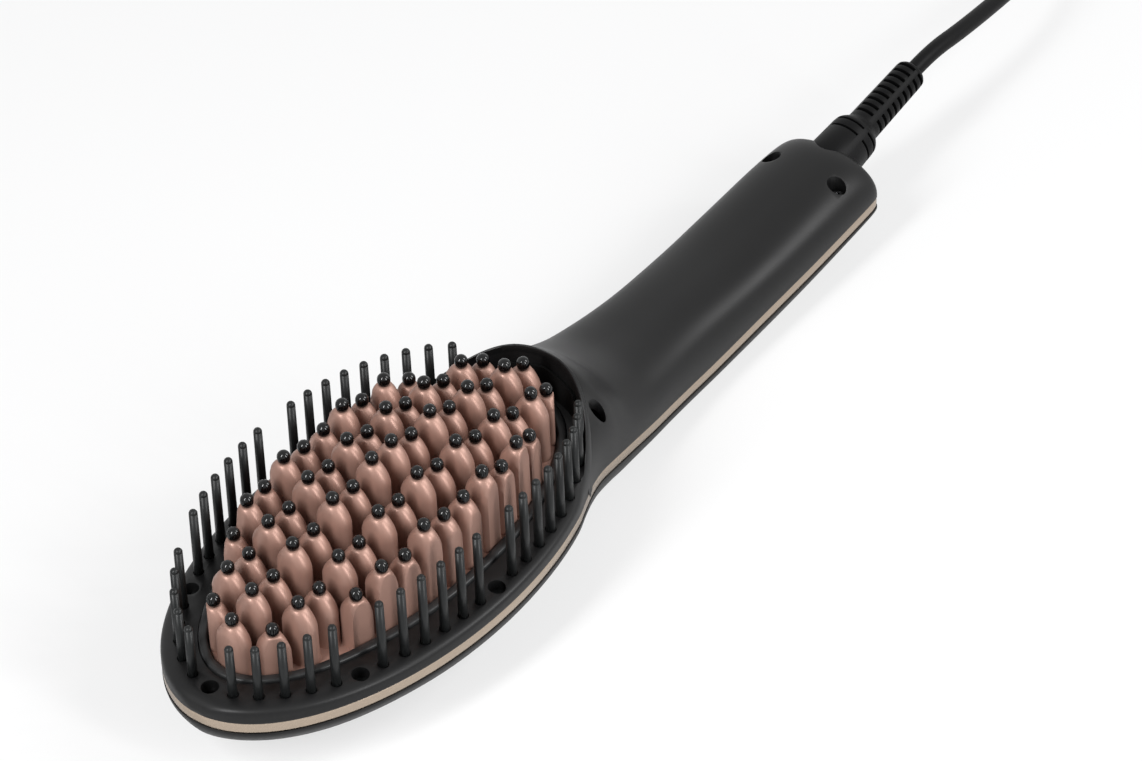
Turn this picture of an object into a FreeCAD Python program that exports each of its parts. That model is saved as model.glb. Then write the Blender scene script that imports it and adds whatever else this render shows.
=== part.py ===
import FreeCAD
import Part
import math
import os

from FreeCAD import Vector

# Heated straightening brush: oval head with a finned hot plate and a guard of
# cool bristles, tapering neck with a raised hood, handle with controls on its
# back, swivel strain relief and mains lead.
# Working frame: X across, Y from head tip to cord, Z out of the bristle face,
# with z = 0 on the deck of the head. Everything is moved at the end so that
# the part lies on its back at z = 0, centred in X and Y. Millimetres.

# ---- body ---------------------------------------------------------------
HEAD_HALF_WIDTH = 40.2
HEAD_HALF_LENGTH = 75.5
HEAD_CENTRE_Y = 5.0
HANDLE_END_Y = 207.0
HANDLE_HALF_WIDTH = 17.2
BACK_DEPTH = 28.0
HOOD_HEIGHT = 13.2
WALL = 2.2
TRIM_WALL = 1.5
LAND_WALL = 2.7
TRIM_HEIGHT = 3.4
TRIM_RECESS = 0.15
BAND_MARGIN = 0.5
FORM_STEPS = 6
HOLLOW_STEPS = 3
RIM_WALL = 1.6
LINER_THICK = 0.8
BOSS_SHY = 0.3

# ---- plate, teeth and their frame -----------------------------------------
PLATE_INSET = 13.2
PLATE_END_INSET = 11.5
PLATE_SHIFT = 2.0
PLATE_TOP = -0.8
PLATE_THICK = 3.0
ROW_PITCH = 8.45
ROW_CLOSING = 0.026
ROWS = 16
COLUMN_PITCH = 11.55
TOOTH_EDGE = 2.2
TOOTH_HEIGHT = 28.3
TOOTH_STEP = 3.5
TOOTH_DOME_LONG = 0.0026
TOOTH_DOME_WIDE = 0.18
TOOTH_HALF_WIDTH = 4.8
TOOTH_HALF_THICK = 2.6
TOOTH_NECK = 1.7
TOOTH_SHOULDER = 7.0
TOOTH_SHOULDER_THIN = 4.5
TOOTH_BEND = 0.35
TOOTH_CORNER = 1.3
BALL_RADIUS = 1.8
BALL_SEAT = 1.2
BEZEL_WIDTH = 2.6
BEZEL_RISE = 0.7
BEZEL_LIP = 2.5
BEZEL_FOOT = 1.2
FIT_GAP = 0.15
PLATE_GAP = 0.4

# ---- guard bristles --------------------------------------------------------
BRISTLE_INSET = 4.0
BRISTLE_END_INSET = 6.0
BRISTLE_PITCH = 6.74
BRISTLE_CLOSE_PITCH = 6.49
BRISTLE_CLOSE_SLOT = 14
BRISTLE_FULLNESS = 2.3
BRISTLE_SLOTS = 23
SCREW_SLOTS = (0, 6, 13)
BRISTLE_RADIUS = 1.1
BRISTLE_TOP = 22.5
BRISTLE_DROP = 7.7
BRISTLE_HOLE = 1.5
COMB_THICK = 1.8
COMB_DROP = 1.6
COMB_EDGE = 0.9
COMB_STEPS = 24
COMB_END_Y = 67.0

# ---- screws ------------------------------------------------------------------
DECK_BORE = 2.4
HANDLE_BORE = 2.7
DECK_BORE_FLOOR = -6.0
NECK_BORE_FLOOR = -4.0
END_BORE_FLOOR = -6.0
BORE_FLOOR = 1.5
BOSS_WALL = 1.2
SCREW_HEAD = 1.9
SCREW_HEAD_HEIGHT = 1.6
SCREW_SHANK = 1.2
SCREW_LENGTH = 7.6
SCREW_CLEAR = 0.05
SCREW_RECESS = 0.35
SCREW_RECESS_LENGTH = 1.2
NECK_SCREW = (19.6, 72.8)
END_SCREW = (11.1, 193.8)

# ---- controls on the back ----------------------------------------------------
FASCIA_HALF_WIDTH = 8.0
FASCIA_START = 74.0
FASCIA_END = 146.0
FASCIA_THICK = 1.0
FASCIA_SINK = 0.5
WINDOW_Y = 92.0
WINDOW_HALF_LENGTH = 11.0
WINDOW_HALF_WIDTH = 5.6
WINDOW_RADIUS = 1.5
BUTTON_YS = (112.0, 124.0, 136.0)
BUTTON_RADIUS = 3.9
BUTTON_CLEAR = 0.1
BUTTON_PROUD = 0.2
BUTTON_TRAVEL = 0.5
BUTTON_FLANGE = 5.0
BUTTON_FLANGE_THICK = 0.8
BUTTON_STEM = 1.6
SWITCH_SIZE = 6.0
SWITCH_HEIGHT = 3.3
PLUNGER_RADIUS = 1.7
PLUNGER_HEIGHT = 0.5
PRESS_GAP = 0.1
PCB_HALF_WIDTH = 10.0
PCB_START = 72.0
PCB_END = 150.0
PCB_THICK = 1.6
POST_RADIUS = 2.0
WIRE_RADIUS = 0.9

# ---- heater -------------------------------------------------------------------
PTC_HALF_LENGTH = 45.0
PTC_THICK = 4.0
MICA_THICK = 0.6
MICA_MARGIN = 2.0
BRACKET_THICK = 1.2
BRACKET_MARGIN = 4.0
SHIELD_INSET = 2.0
SHIELD_THICK = 1.0
SHIELD_DROP = 8.4
PILLAR_RADIUS = 2.5
PILLAR_INSET = 9.0
PILLAR_CLEAR = 2.5
CUTOFF_RADIUS = 2.4
PILLAR_YS = (-22.0, 32.0)

# ---- swivel and lead ----------------------------------------------------------
AXIS_TILT = 9.5
AXIS_Z = -6.0
COLLAR_RADIUS = 6.0
COLLAR_DEPTH = 3.0
COLLAR_LENGTH = 4.0
COLLAR_FLANGE_REACH = 0.8
COLLAR_FLANGE_THICK = 2.0
COLLAR_HOLDER = 8.8
SPIGOT_RADIUS = 3.6
SPIGOT_CLEAR = 0.06
SPIGOT_DISC = 4.8
SPIGOT_DISC_THICK = 1.3
SWIVEL_GAP = 0.3
BOOT_BASE_RADIUS = 7.6
BOOT_SHOULDER_RADIUS = 7.15
BOOT_SHOULDER = 10.9
BOOT_NECK = 15.1
BOOT_RADIUS = 5.0
BOOT_TIP_RADIUS = 4.5
BOOT_END = 39.8
BASE_SLOTS = (7.1, 10.2)
BASE_SLOT_WIDTH = 0.8
BASE_SPINE = 4.7
BOOT_SLOTS = 9
BOOT_SLOT_START = 16.6
BOOT_SLOT_PITCH = 2.59
BOOT_SLOT_WIDTH = 1.1
BOOT_SPINE = 2.9
BOOT_BRIDGE = 0.3
CORD_RADIUS = 2.45
COIL_CENTRE = (5.5, 408.0)
COIL_TURN = 32.0
COIL_LAYERS = 4
COIL_ENTRY = 18.0
TAIL_RUNS = (13.0, 20.0, 13.0)
PLUG_LENGTH = 32.0
PLUG_HALF_THICK = 7.0
SLEEVE_LENGTH = 24.0
PIN_RADIUS = 2.0
PIN_SPACING = 19.0
PIN_LENGTH = 19.0

# Height of the resting surface and lead centre line above it.
FLOOR_Z = -BACK_DEPTH
LEAD_Z = FLOOR_Z + CORD_RADIUS + 0.15

PLATE_Y = HEAD_CENTRE_Y + PLATE_SHIFT
PLATE_HALF_WIDTH = HEAD_HALF_WIDTH - PLATE_INSET
PLATE_HALF_LENGTH = HEAD_HALF_LENGTH - PLATE_END_INSET
PILLAR_X = PLATE_HALF_WIDTH - PILLAR_INSET
SENSOR_X = PILLAR_X - 0.5
PTC_HALF_WIDTH = PILLAR_X - PILLAR_RADIUS - PILLAR_CLEAR - BRACKET_MARGIN
COLLAR_FLANGE = COLLAR_RADIUS + COLLAR_FLANGE_REACH
BRISTLE_A = HEAD_HALF_WIDTH - BRISTLE_INSET
BRISTLE_B = HEAD_HALF_LENGTH - BRISTLE_END_INSET
TIP_Y = HEAD_CENTRE_Y - HEAD_HALF_LENGTH
BEZEL_A = PLATE_HALF_WIDTH + PLATE_GAP + BEZEL_WIDTH
BEZEL_B = PLATE_HALF_LENGTH + PLATE_GAP + BEZEL_WIDTH
POCKET_A = HEAD_HALF_WIDTH - 0.2
POCKET_B = HEAD_HALF_LENGTH - 4.4
PLATE_BOTTOM = PLATE_TOP - PLATE_THICK

# An eight-sided ring this much larger spans the circle that it stands for.
OCT = 1.0 / math.cos(math.pi / 8.0)

EXPORTS = {}


def ellipse_face(a, b, yc, z):
    """Flat elliptical face, a across and b along."""
    if a >= b:
        curve = Part.Ellipse(Vector(a, yc, z), Vector(0, yc + b, z), Vector(0, yc, z))
    else:
        curve = Part.Ellipse(Vector(0, yc + b, z), Vector(-a, yc, z), Vector(0, yc, z))
    return Part.Face(Part.Wire([curve.toShape()]))


def oval(a, b, yc, z0, z1):
    return ellipse_face(a, b, yc, z0).extrude(Vector(0, 0, z1 - z0))


def oval_half_width(a, b, yc, y):
    u = (y - yc) / b
    return a * math.sqrt(max(0.0, 1.0 - u * u))


def rod(r, x, y, z0, z1):
    return Part.makeCylinder(r, z1 - z0, Vector(x, y, z0), Vector(0, 0, 1))


def ring_of(sides, x, y, z, r):
    """Closed regular polygon with a flat towards +X."""
    pts = []
    for i in range(sides):
        t = 2.0 * math.pi * (i + 0.5) / sides
        pts.append(Vector(x + r * math.cos(t), y + r * math.sin(t), z))
    return Part.makePolygon(pts + [pts[0]])


def prism(sides, r, x, y, z0, z1):
    return Part.Face(ring_of(sides, x, y, z0, r)).extrude(Vector(0, 0, z1 - z0))


def block(x0, x1, y0, y1, z0, z1):
    return Part.makeBox(x1 - x0, y1 - y0, z1 - z0, Vector(x0, y0, z0))


def stadium(half_width, y0, y1, z0, z1):
    """Slot-shaped slab along Y with round ends."""
    r = half_width
    a = Vector(-r, y0 + r, z0)
    b = Vector(-r, y1 - r, z0)
    c = Vector(r, y1 - r, z0)
    d = Vector(r, y0 + r, z0)
    edges = [
        Part.LineSegment(a, b).toShape(),
        Part.Arc(b, Vector(0, y1, z0), c).toShape(),
        Part.LineSegment(c, d).toShape(),
        Part.Arc(d, Vector(0, y0, z0), a).toShape(),
    ]
    return Part.Face(Part.Wire(edges)).extrude(Vector(0, 0, z1 - z0))


def round_block(hx, hy, yc, r, z0, z1):
    """Rectangular slab with rounded upright corners."""
    box = block(-hx, hx, yc - hy, yc + hy, z0, z1)
    upright = [e for e in box.Edges if abs(e.tangentAt(e.FirstParameter).z) > 0.99]
    return box.makeFillet(r, upright)


# ---- outer form of the body ------------------------------------------------------
# Stations from the tip to the handle end: y, half width, parting height, crest
# height, keel height, exponent of the upper and of the lower half section.

def head_width(y, inset):
    a = HEAD_HALF_WIDTH - inset
    b = HEAD_HALF_LENGTH - inset
    return oval_half_width(a, b, HEAD_CENTRE_Y, y)


def handle_y(y):
    """Handle stations stretch between the neck and the handle's end."""
    return 87.0 + (y - 87.0) * (HANDLE_END_Y - 87.0) / 120.0


def head_y(u):
    """Head stations run from the tip, u = -1, to the widest point, u = 0."""
    return HEAD_CENTRE_Y + u * HEAD_HALF_LENGTH


HEAD_SECTIONS = (
    (-0.9990, -4.8, -3.7, -9.3, 4.0, 1.6),
    (-0.9900, -4.8, -1.9, -11.2, 4.5, 1.6),
    (-0.9650, -4.8, -0.7, -13.6, 5.5, 1.6),
    (-0.9100, -4.8, 0.3, -16.4, 5.5, 1.6),
    (-0.8200, -4.8, 0.5, -19.6, 5.5, 1.6),
    (-0.6800, -4.8, 0.5, -22.9, 5.5, 1.6),
    (-0.4800, -4.8, 0.5, -26.0, 5.5, 1.55),
    (-0.2200, -4.8, 0.5, -28.9, 5.5, 1.55),
    (0.0600, -4.8, 0.5, -30.2, 5.5, 1.55),
    (0.3200, -4.9, 0.5, -30.8, 5.5, 1.55),
    (0.5200, -5.3, 0.6, -31.0, 5.0, 1.6),
)
NECK_SECTIONS = (
    (53.0, 30.6, -6.3, 0.27, -31.0, 3.6, 1.6),
    (60.0, 27.5, -7.6, 0.80, -31.0, 2.7, 1.65),
    (67.0, 25.2, -9.0, 0.97, -31.0, 2.5, 1.65),
    (75.0, 23.6, -10.8, 1.00, -31.0, 2.4, 1.65),
    (80.0, 22.8, -11.8, 0.80, -31.0, 2.3, 1.7),
    (87.0, 21.8, -13.0, 0.38, -31.0, 2.3, 1.7),
)
HANDLE_SECTIONS = (
    (97.0, 3.2, -14.7, 0.6, -31.0, 2.45, 1.7),
    (107.0, 1.8, -16.0, -1.2, -31.0, 2.7, 1.7),
    (118.0, 0.8, -16.8, -1.8, -31.0, 2.7, 1.7),
    (130.0, 0.2, -17.0, -2.0, -31.0, 2.7, 1.7),
    (149.0, 0.0, -15.7, -2.2, -30.4, 2.7, 1.7),
    (163.0, 0.0, -14.6, -1.6, -29.0, 2.7, 1.7),
    (175.0, 0.0, -13.6, -0.6, -27.0, 2.6, 1.7),
    (188.0, 0.0, -12.2, 0.7, -24.4, 2.4, 1.7),
    (199.0, -0.2, -11.2, 1.5, -21.9, 2.2, 1.7),
    (204.3, -0.5, -10.8, 0.9, -20.2, 2.1, 1.7),
    (206.3, -1.2, -10.7, -0.5, -18.8, 2.1, 1.7),
    (207.0, -2.3, -10.6, -2.2, -17.6, 2.1, 1.7),
)


def stations(inset):
    rows = []
    for u, zp, zt, zb, pt, pb in HEAD_SECTIONS:
        y = head_y(u) - u * inset
        keel = min(zb + inset, zp - TRIM_HEIGHT - BAND_MARGIN - 0.4)
        crest = max(zt - inset, zp + BAND_MARGIN + 0.4)
        rows.append((y, head_width(y, inset), zp, crest, keel, pt, pb))
    for y, w, zp, rise, zb, pt, pb in NECK_SECTIONS:
        rows.append((y, w - inset, zp, HOOD_HEIGHT * rise - inset, zb + inset, pt, pb))
    for y, dw, zp, zt, zb, pt, pb in HANDLE_SECTIONS:
        w = HANDLE_HALF_WIDTH + dw - inset
        y = handle_y(y)
        if HANDLE_END_Y - y < 1.0:
            y = y - inset
        elif HANDLE_END_Y - y < 3.5:
            y = y - inset * 0.8
        rows.append((y, w, zp, zt - inset, zb + inset, pt, pb))
    return rows


def section_wire(row, steps):
    """Closed section: rounded upper half, upright band, rounded lower half."""
    y, w, zp, zt, zb, pt, pb = row
    zl = zp - TRIM_HEIGHT - BAND_MARGIN
    zp = zp + BAND_MARGIN
    pts = []
    for power, edge, reach, turn in ((pt, zp, zt - zp, -1), (pb, zl, zb - zl, 1)):
        for i in range(-steps, steps + 1):
            t = math.pi / 2.0 * (1.0 - i / steps)
            c = abs(math.cos(t)) ** (2.0 / power)
            s = abs(math.sin(t)) ** (2.0 / power)
            x = math.copysign(c, turn * i) * w if i else 0.0
            pts.append(Vector(x, y, edge + reach * s))
    return Part.makePolygon(pts + [pts[0]])


def body(inset):
    """Solid of the whole body, moved in by inset on every side."""
    return Part.makeLoft([section_wire(r, FORM_STEPS) for r in stations(inset)], True, True)


def hollow(inset):
    """Plainer form of the same body, for the space inside."""
    rows = stations(inset)
    head = len(HEAD_SECTIONS)
    rows = rows[:head] + rows[head:-1:2] + rows[-1:]
    return Part.makeLoft([section_wire(r, HOLLOW_STEPS) for r in rows], True, True)


def parting_solid(drop, up):
    """Everything above or below the parting line moved down by drop."""
    pts = [Vector(-60, r[0], r[2] - drop) for r in stations(0.0)]
    first = Vector(-60, TIP_Y - 20, pts[0].z)
    last = Vector(-60, HANDLE_END_Y + 20, pts[-1].z)
    far = 60.0 if up else -80.0
    a = Vector(-60, last.y, far)
    b = Vector(-60, first.y, far)
    outline = Part.makePolygon([first] + pts + [last, a, b, first])
    return Part.Face(outline).extrude(Vector(120, 0, 0))


# ---- bristle slots along the oval line ----------------------------------------------

def bristle_line(a, b, t):
    """Point of an oval that is a little fuller towards the hood, t = 0 at the tip."""
    u = -math.cos(t)
    power = BRISTLE_FULLNESS if u > 0.0 else 2.0
    return Vector(a * math.sqrt(1.0 - abs(u) ** power), HEAD_CENTRE_Y + b * u, 0)


def bristle_slots():
    """Points at steps along the bristle line, from the tip on the +X side, closer near the hood."""
    out = []
    steps = 4000
    travelled = 0.0
    want = 0.0
    last = Vector(0, HEAD_CENTRE_Y - BRISTLE_B, 0)
    for i in range(steps + 1):
        p = bristle_line(BRISTLE_A, BRISTLE_B, math.pi * i / steps)
        travelled += p.distanceToPoint(last)
        last = p
        if travelled >= want:
            out.append(p)
            want += BRISTLE_PITCH if len(out) <= BRISTLE_CLOSE_SLOT else BRISTLE_CLOSE_PITCH
        if len(out) == BRISTLE_SLOTS:
            break
    return out


SLOTS = bristle_slots()
BRISTLES = [p for i, p in enumerate(SLOTS) if i not in SCREW_SLOTS]
DECK_SCREWS = []
for slot in SCREW_SLOTS:
    DECK_SCREWS.append((SLOTS[slot].x, SLOTS[slot].y))
    if slot:
        DECK_SCREWS.append((-SLOTS[slot].x, SLOTS[slot].y))
NECK_SCREWS = [(s * NECK_SCREW[0], NECK_SCREW[1]) for s in (1, -1)]
END_SCREWS = [(s * END_SCREW[0], handle_y(END_SCREW[1])) for s in (1, -1)]
# Each screw: x, y, bore radius, height of the bore's floor.
SCREWS = [(x, y, DECK_BORE, DECK_BORE_FLOOR) for x, y in DECK_SCREWS]
SCREWS += [(x, y, HANDLE_BORE, NECK_BORE_FLOOR) for x, y in NECK_SCREWS]
SCREWS += [(x, y, HANDLE_BORE, END_BORE_FLOOR) for x, y in END_SCREWS]

# ---- swivel axis ------------------------------------------------------------------------
TILT = math.radians(AXIS_TILT)
AXIS = Vector(0, math.cos(TILT), math.sin(TILT))
AXIS_FOOT = Vector(0, HANDLE_END_Y, AXIS_Z)
COLLAR_BACK = -COLLAR_DEPTH - COLLAR_LENGTH


def turned(profile):
    """Body of revolution about the swivel axis from (distance, radius) pairs."""
    side = Vector(1, 0, 0)
    pts = [AXIS_FOOT + AXIS * s + side * r for s, r in profile]
    wire = Part.makePolygon(pts + [pts[0]])
    return Part.Face(wire).revolve(AXIS_FOOT, AXIS, 360)


def collar_seat():
    """Room for the flanged collar and, outside it, for the boot's round base."""
    g = FIT_GAP
    flange = COLLAR_BACK + COLLAR_FLANGE_THICK + g
    room = BOOT_BASE_RADIUS + SWIVEL_GAP
    profile = [
        (COLLAR_BACK - g, 0),
        (COLLAR_BACK - g, COLLAR_FLANGE + g),
        (flange, COLLAR_FLANGE + g),
        (flange, COLLAR_RADIUS + g),
        (-COLLAR_DEPTH, COLLAR_RADIUS + g),
        (-COLLAR_DEPTH, room),
        (30, room),
        (30, 0),
    ]
    return turned(profile)


def collar_holder():
    """Thick ring inside the handle's end, half in each shell, that grips the collar."""
    start = COLLAR_BACK + COLLAR_FLANGE_THICK
    return turned([(start, 0), (start, COLLAR_HOLDER), (2, COLLAR_HOLDER), (2, 0)])


# ---- shells -------------------------------------------------------------------------------
OUTER = body(0.0)
INNER = hollow(WALL)
ABOVE = parting_solid(0.0, True)
BELOW = parting_solid(TRIM_HEIGHT, False)
pocket = oval(POCKET_A, POCKET_B, HEAD_CENTRE_Y, 0.0, 40.0)
pocket_keep = oval(POCKET_A + RIM_WALL, POCKET_B + RIM_WALL, HEAD_CENTRE_Y, -WALL, 40.0)
land_floor = block(-60, 60, TIP_Y - 10, HANDLE_END_Y + 10, -80, FLOOR_Z + LAND_WALL)
CAVITY = INNER.cut(pocket_keep).cut(land_floor)
BOSS_ROOM = hollow(WALL + BOSS_SHY).cut(pocket_keep)
below_land = block(-60, 60, TIP_Y - 10, HANDLE_END_Y + 10, -80, FLOOR_Z)
FORM = OUTER.cut(pocket).cut(below_land)


def front_shell():
    shell = FORM.common(ABOVE).cut(CAVITY)
    bosses = []
    bores = []
    for x, y, r, floor in SCREWS:
        bosses.append(prism(8, (r + BOSS_WALL) * OCT, x, y, floor - BORE_FLOOR, 20.0))
        bores.append(rod(r, x, y, floor, 40.0))
        bores.append(prism(6, SCREW_SHANK + SCREW_CLEAR, x, y, floor - 5.0, floor + 1.0))
    boss = bosses[0].multiFuse(bosses[1:])
    holder = collar_holder().common(CAVITY).common(ABOVE)
    shell = shell.multiFuse([boss.common(FORM.common(ABOVE)), boss.common(BOSS_ROOM), holder])
    gap = FIT_GAP
    opening = oval(BEZEL_A + gap, BEZEL_B + gap, PLATE_Y, -12.0, 5.0)
    cuts = bores + [opening]
    for p in BRISTLES:
        for side in (1, -1):
            cuts.append(prism(8, BRISTLE_HOLE * OCT, side * p.x, p.y, COMB_TOP - 1.0, 3.0))
    cuts.append(collar_seat())
    return shell.cut(Part.makeCompound(cuts))


def back_shell():
    shell = FORM.common(BELOW).cut(CAVITY)
    bosses = []
    bores = []
    for x, y, r, floor in SCREWS:
        top = floor - BORE_FLOOR
        bosses.append(prism(8, SCREW_SHANK + 2.0, x, y, -40.0, top))
        low = floor - SCREW_LENGTH - 0.3
        bores.append(prism(6, SCREW_SHANK + SCREW_CLEAR, x, y, low, top + 5.0))
    for x in (-PILLAR_X, PILLAR_X):
        for y in PILLAR_YS:
            y = PLATE_Y + y
            bosses.append(prism(8, PILLAR_RADIUS, x, y, -40.0, SHIELD_BOTTOM))
    for x in (-PCB_HALF_WIDTH + 3.0, PCB_HALF_WIDTH - 3.0):
        for y in (PCB_START + 3.0, PCB_END - 3.0):
            bosses.append(prism(8, POST_RADIUS, x, y, -40.0, PCB_BOTTOM))
    holder = collar_holder().common(CAVITY).common(BELOW)
    shell = shell.multiFuse([bosses[0].multiFuse(bosses[1:]).common(CAVITY), holder])
    sink = FLOOR_Z + FASCIA_SINK + FASCIA_THICK
    cuts = list(bores)
    cuts.append(stadium(FASCIA_HALF_WIDTH, FASCIA_START, FASCIA_END, FLOOR_Z - 5, sink))
    cuts.append(round_block(WINDOW_HALF_WIDTH, WINDOW_HALF_LENGTH, WINDOW_Y, WINDOW_RADIUS, -40, -24))
    for y in BUTTON_YS:
        cuts.append(rod(BUTTON_RADIUS + 0.3, 0, y, -40.0, FLOOR_Z + LAND_WALL + 0.5))
    cuts.append(collar_seat())
    return shell.cut(Part.makeCompound(cuts))


def trim_strip():
    """Metal-look band between the two shells, a little below their surface."""
    band = body(TRIM_RECESS).cut(ABOVE).cut(BELOW)
    return band.cut(hollow(TRIM_WALL)).cut(collar_seat())


def hood_liner():
    """Dark wall that lines the inside of the hood above the deck."""
    outer = oval(POCKET_A - FIT_GAP, POCKET_B - FIT_GAP, HEAD_CENTRE_Y, 0.0, 40.0)
    a = POCKET_A - FIT_GAP - LINER_THICK
    b = POCKET_B - FIT_GAP - LINER_THICK
    inner = oval(a, b, HEAD_CENTRE_Y, -1.0, 41.0)
    ring = outer.cut(inner)
    start = BRISTLES[-1].y + BRISTLE_HOLE
    return ring.common(INNER).common(block(-60, 60, start, 120, 0.0, 40))


# ---- plate, teeth, tips -----------------------------------------------------------------------

def row_y(i):
    start = PLATE_Y - 61.1
    return start + ROW_PITCH * i - ROW_CLOSING * i * i


def tooth_places():
    """x, y and ball height of every tooth."""
    a = PLATE_HALF_WIDTH - TOOTH_EDGE
    b = PLATE_HALF_LENGTH - TOOTH_EDGE
    mid = (ROWS - 1) / 2.0
    out = []
    for column in (-2, -1, 0, 1, 2):
        odd = column % 2
        first = 3 if abs(column) == 2 else 0
        for n in range(first, ROWS - first - odd):
            i = n + 0.5 * odd
            y = row_y(i)
            x = min(abs(column) * COLUMN_PITCH, oval_half_width(a, b, PLATE_Y, y))
            x = math.copysign(x, column) if column else 0.0
            away = int(abs(i - mid))
            tall = away % 2 == (1 if abs(column) == 2 else 0)
            if odd:
                tall = n % 2 == 1
            z = TOOTH_HEIGHT - TOOTH_DOME_LONG * (y - PLATE_Y - 3.0) ** 2 - TOOTH_DOME_WIDE * abs(x)
            out.append((x, y, z if tall else z - TOOTH_STEP))
    return out


TEETH = tooth_places()


def fin_outline(half, drop):
    """Fin seen from one side, as (across, height): its shoulder is a quarter oval in two straights."""
    bulge = math.sqrt(1.0 - (1.0 - TOOTH_BEND) ** 2)
    middle = TOOTH_NECK + (half - TOOTH_NECK) * bulge
    right = [(half, -TOOTH_HEIGHT), (half, -drop), (middle, -TOOTH_BEND * drop), (TOOTH_NECK, 0.0)]
    return right + [(-x, z) for x, z in reversed(right)]


def tooth_form():
    """Fin with its seat at z = 0: arched shoulders both ways, corners taken off."""
    w = TOOTH_HALF_WIDTH
    t = TOOTH_HALF_THICK
    wide = fin_outline(w, TOOTH_SHOULDER)
    front = Part.makePolygon([Vector(x, -t, z) for x, z in wide + wide[:1]])
    narrow = fin_outline(t, TOOTH_SHOULDER_THIN)
    side = Part.makePolygon([Vector(-w, y, z) for y, z in narrow + narrow[:1]])
    k = TOOTH_CORNER
    plan = [(w, t - k), (w - k, t), (k - w, t), (-w, t - k)]
    plan += [(-x, -y) for x, y in plan]
    foot_print = Part.makePolygon([Vector(x, y, -TOOTH_HEIGHT) for x, y in plan + plan[:1]])
    fin = Part.Face(front).extrude(Vector(0, 2 * t, 0))
    fin = fin.common(Part.Face(side).extrude(Vector(2 * w, 0, 0)))
    return fin.common(Part.Face(foot_print).extrude(Vector(0, 0, TOOTH_HEIGHT + 1.0)))


def heater_plate():
    base = oval(PLATE_HALF_WIDTH, PLATE_HALF_LENGTH, PLATE_Y, PLATE_BOTTOM, PLATE_TOP)
    form = tooth_form()
    teeth = []
    for x, y, z in TEETH:
        fin = form.copy()
        fin.translate(Vector(x, y, z - BALL_SEAT))
        teeth.append(fin)
    trim = oval(PLATE_HALF_WIDTH, PLATE_HALF_LENGTH, PLATE_Y, PLATE_TOP - 1.0, 60.0)
    teeth = Part.makeCompound(teeth).common(trim)
    plate = base.multiFuse(teeth.Solids)
    pillars = []
    for x in (-PILLAR_X, PILLAR_X):
        for y in PILLAR_YS:
            pillars.append(prism(8, PILLAR_RADIUS, x, PLATE_Y + y, SHIELD_TOP, PLATE_BOTTOM + 0.5))
    return plate.multiFuse(pillars)


def ball(x, y, z):
    """Tip seated on the flat end of its tooth."""
    r = BALL_RADIUS
    rings = [ring_of(6, x, y, z + dz, r * k) for dz, k in ((-BALL_SEAT, 0.80), (0.1, 1.06), (r, 0.45))]
    return Part.makeLoft(rings, True, True)


def bezel():
    """Heat-resistant frame round the plate, standing through the deck."""
    foot_top = COMB_BOTTOM - 0.2
    foot_bottom = foot_top - BEZEL_FOOT
    wall = oval(BEZEL_A, BEZEL_B, PLATE_Y, foot_bottom, BEZEL_RISE)
    flange = oval(BEZEL_A + 2.0, BEZEL_B + 0.5, PLATE_Y, foot_bottom, foot_top)
    hole = oval(PLATE_HALF_WIDTH + PLATE_GAP, PLATE_HALF_LENGTH + PLATE_GAP, PLATE_Y, PLATE_BOTTOM, 5.0)
    inner = oval(PLATE_HALF_WIDTH - BEZEL_LIP, PLATE_HALF_LENGTH - BEZEL_LIP, PLATE_Y, -20.0, 5.0)
    return wall.fuse(flange).cut(hole).cut(inner)


# ---- guard combs ----------------------------------------------------------------------------------

def bristle(p, side):
    z0 = COMB_TOP - 0.4
    top = BRISTLE_TOP - BRISTLE_DROP * ((p.y - HEAD_CENTRE_Y + 5.0) / BRISTLE_B) ** 2
    profile = ((z0, BRISTLE_RADIUS * 1.05), (top - 0.7, BRISTLE_RADIUS * 0.94), (top, 0.5))
    return Part.makeLoft([ring_of(6, side * p.x, p.y, z, r) for z, r in profile], True, True)


def guard_comb(side):
    """One half of the bristle carrier, clipped under the deck."""
    a = BRISTLE_A + COMB_EDGE
    b = BRISTLE_B + COMB_EDGE
    edge = [bristle_line(a, b, math.pi * i / COMB_STEPS) for i in range(COMB_STEPS + 1)]
    edge = [Vector(side * p.x, p.y, COMB_BOTTOM) for p in edge]
    outer = Part.Face(Part.makePolygon(edge + edge[:1])).extrude(Vector(0, 0, COMB_THICK))
    inner = oval(BEZEL_A + 2 * FIT_GAP, BEZEL_B + 2 * FIT_GAP, PLATE_Y, -20.0, 5.0)
    strip = outer.cut(inner).common(BOSS_ROOM)
    strip = strip.common(block(-60, 60, TIP_Y, COMB_END_Y, -20, 20))
    for x, y in DECK_SCREWS:
        strip = strip.cut(prism(8, (DECK_BORE + BOSS_WALL + 0.3) * OCT, x, y, -20, 20))
    return strip.multiFuse([bristle(p, side) for p in BRISTLES])


# ---- screws --------------------------------------------------------------------------------------------

def screw(x, y, floor):
    """Pan head with a straight recess, threads left plain."""
    head = prism(8, SCREW_HEAD, x, y, floor, floor + SCREW_HEAD_HEIGHT)
    w = SCREW_RECESS
    n = SCREW_RECESS_LENGTH
    slot = block(x - w, x + w, y - n, y + n, floor + 0.8, floor + 3.0)
    return head.fuse(prism(6, SCREW_SHANK, x, y, floor - SCREW_LENGTH, floor)).cut(slot)


# ---- heater stack --------------------------------------------------------------------------------------

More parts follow.
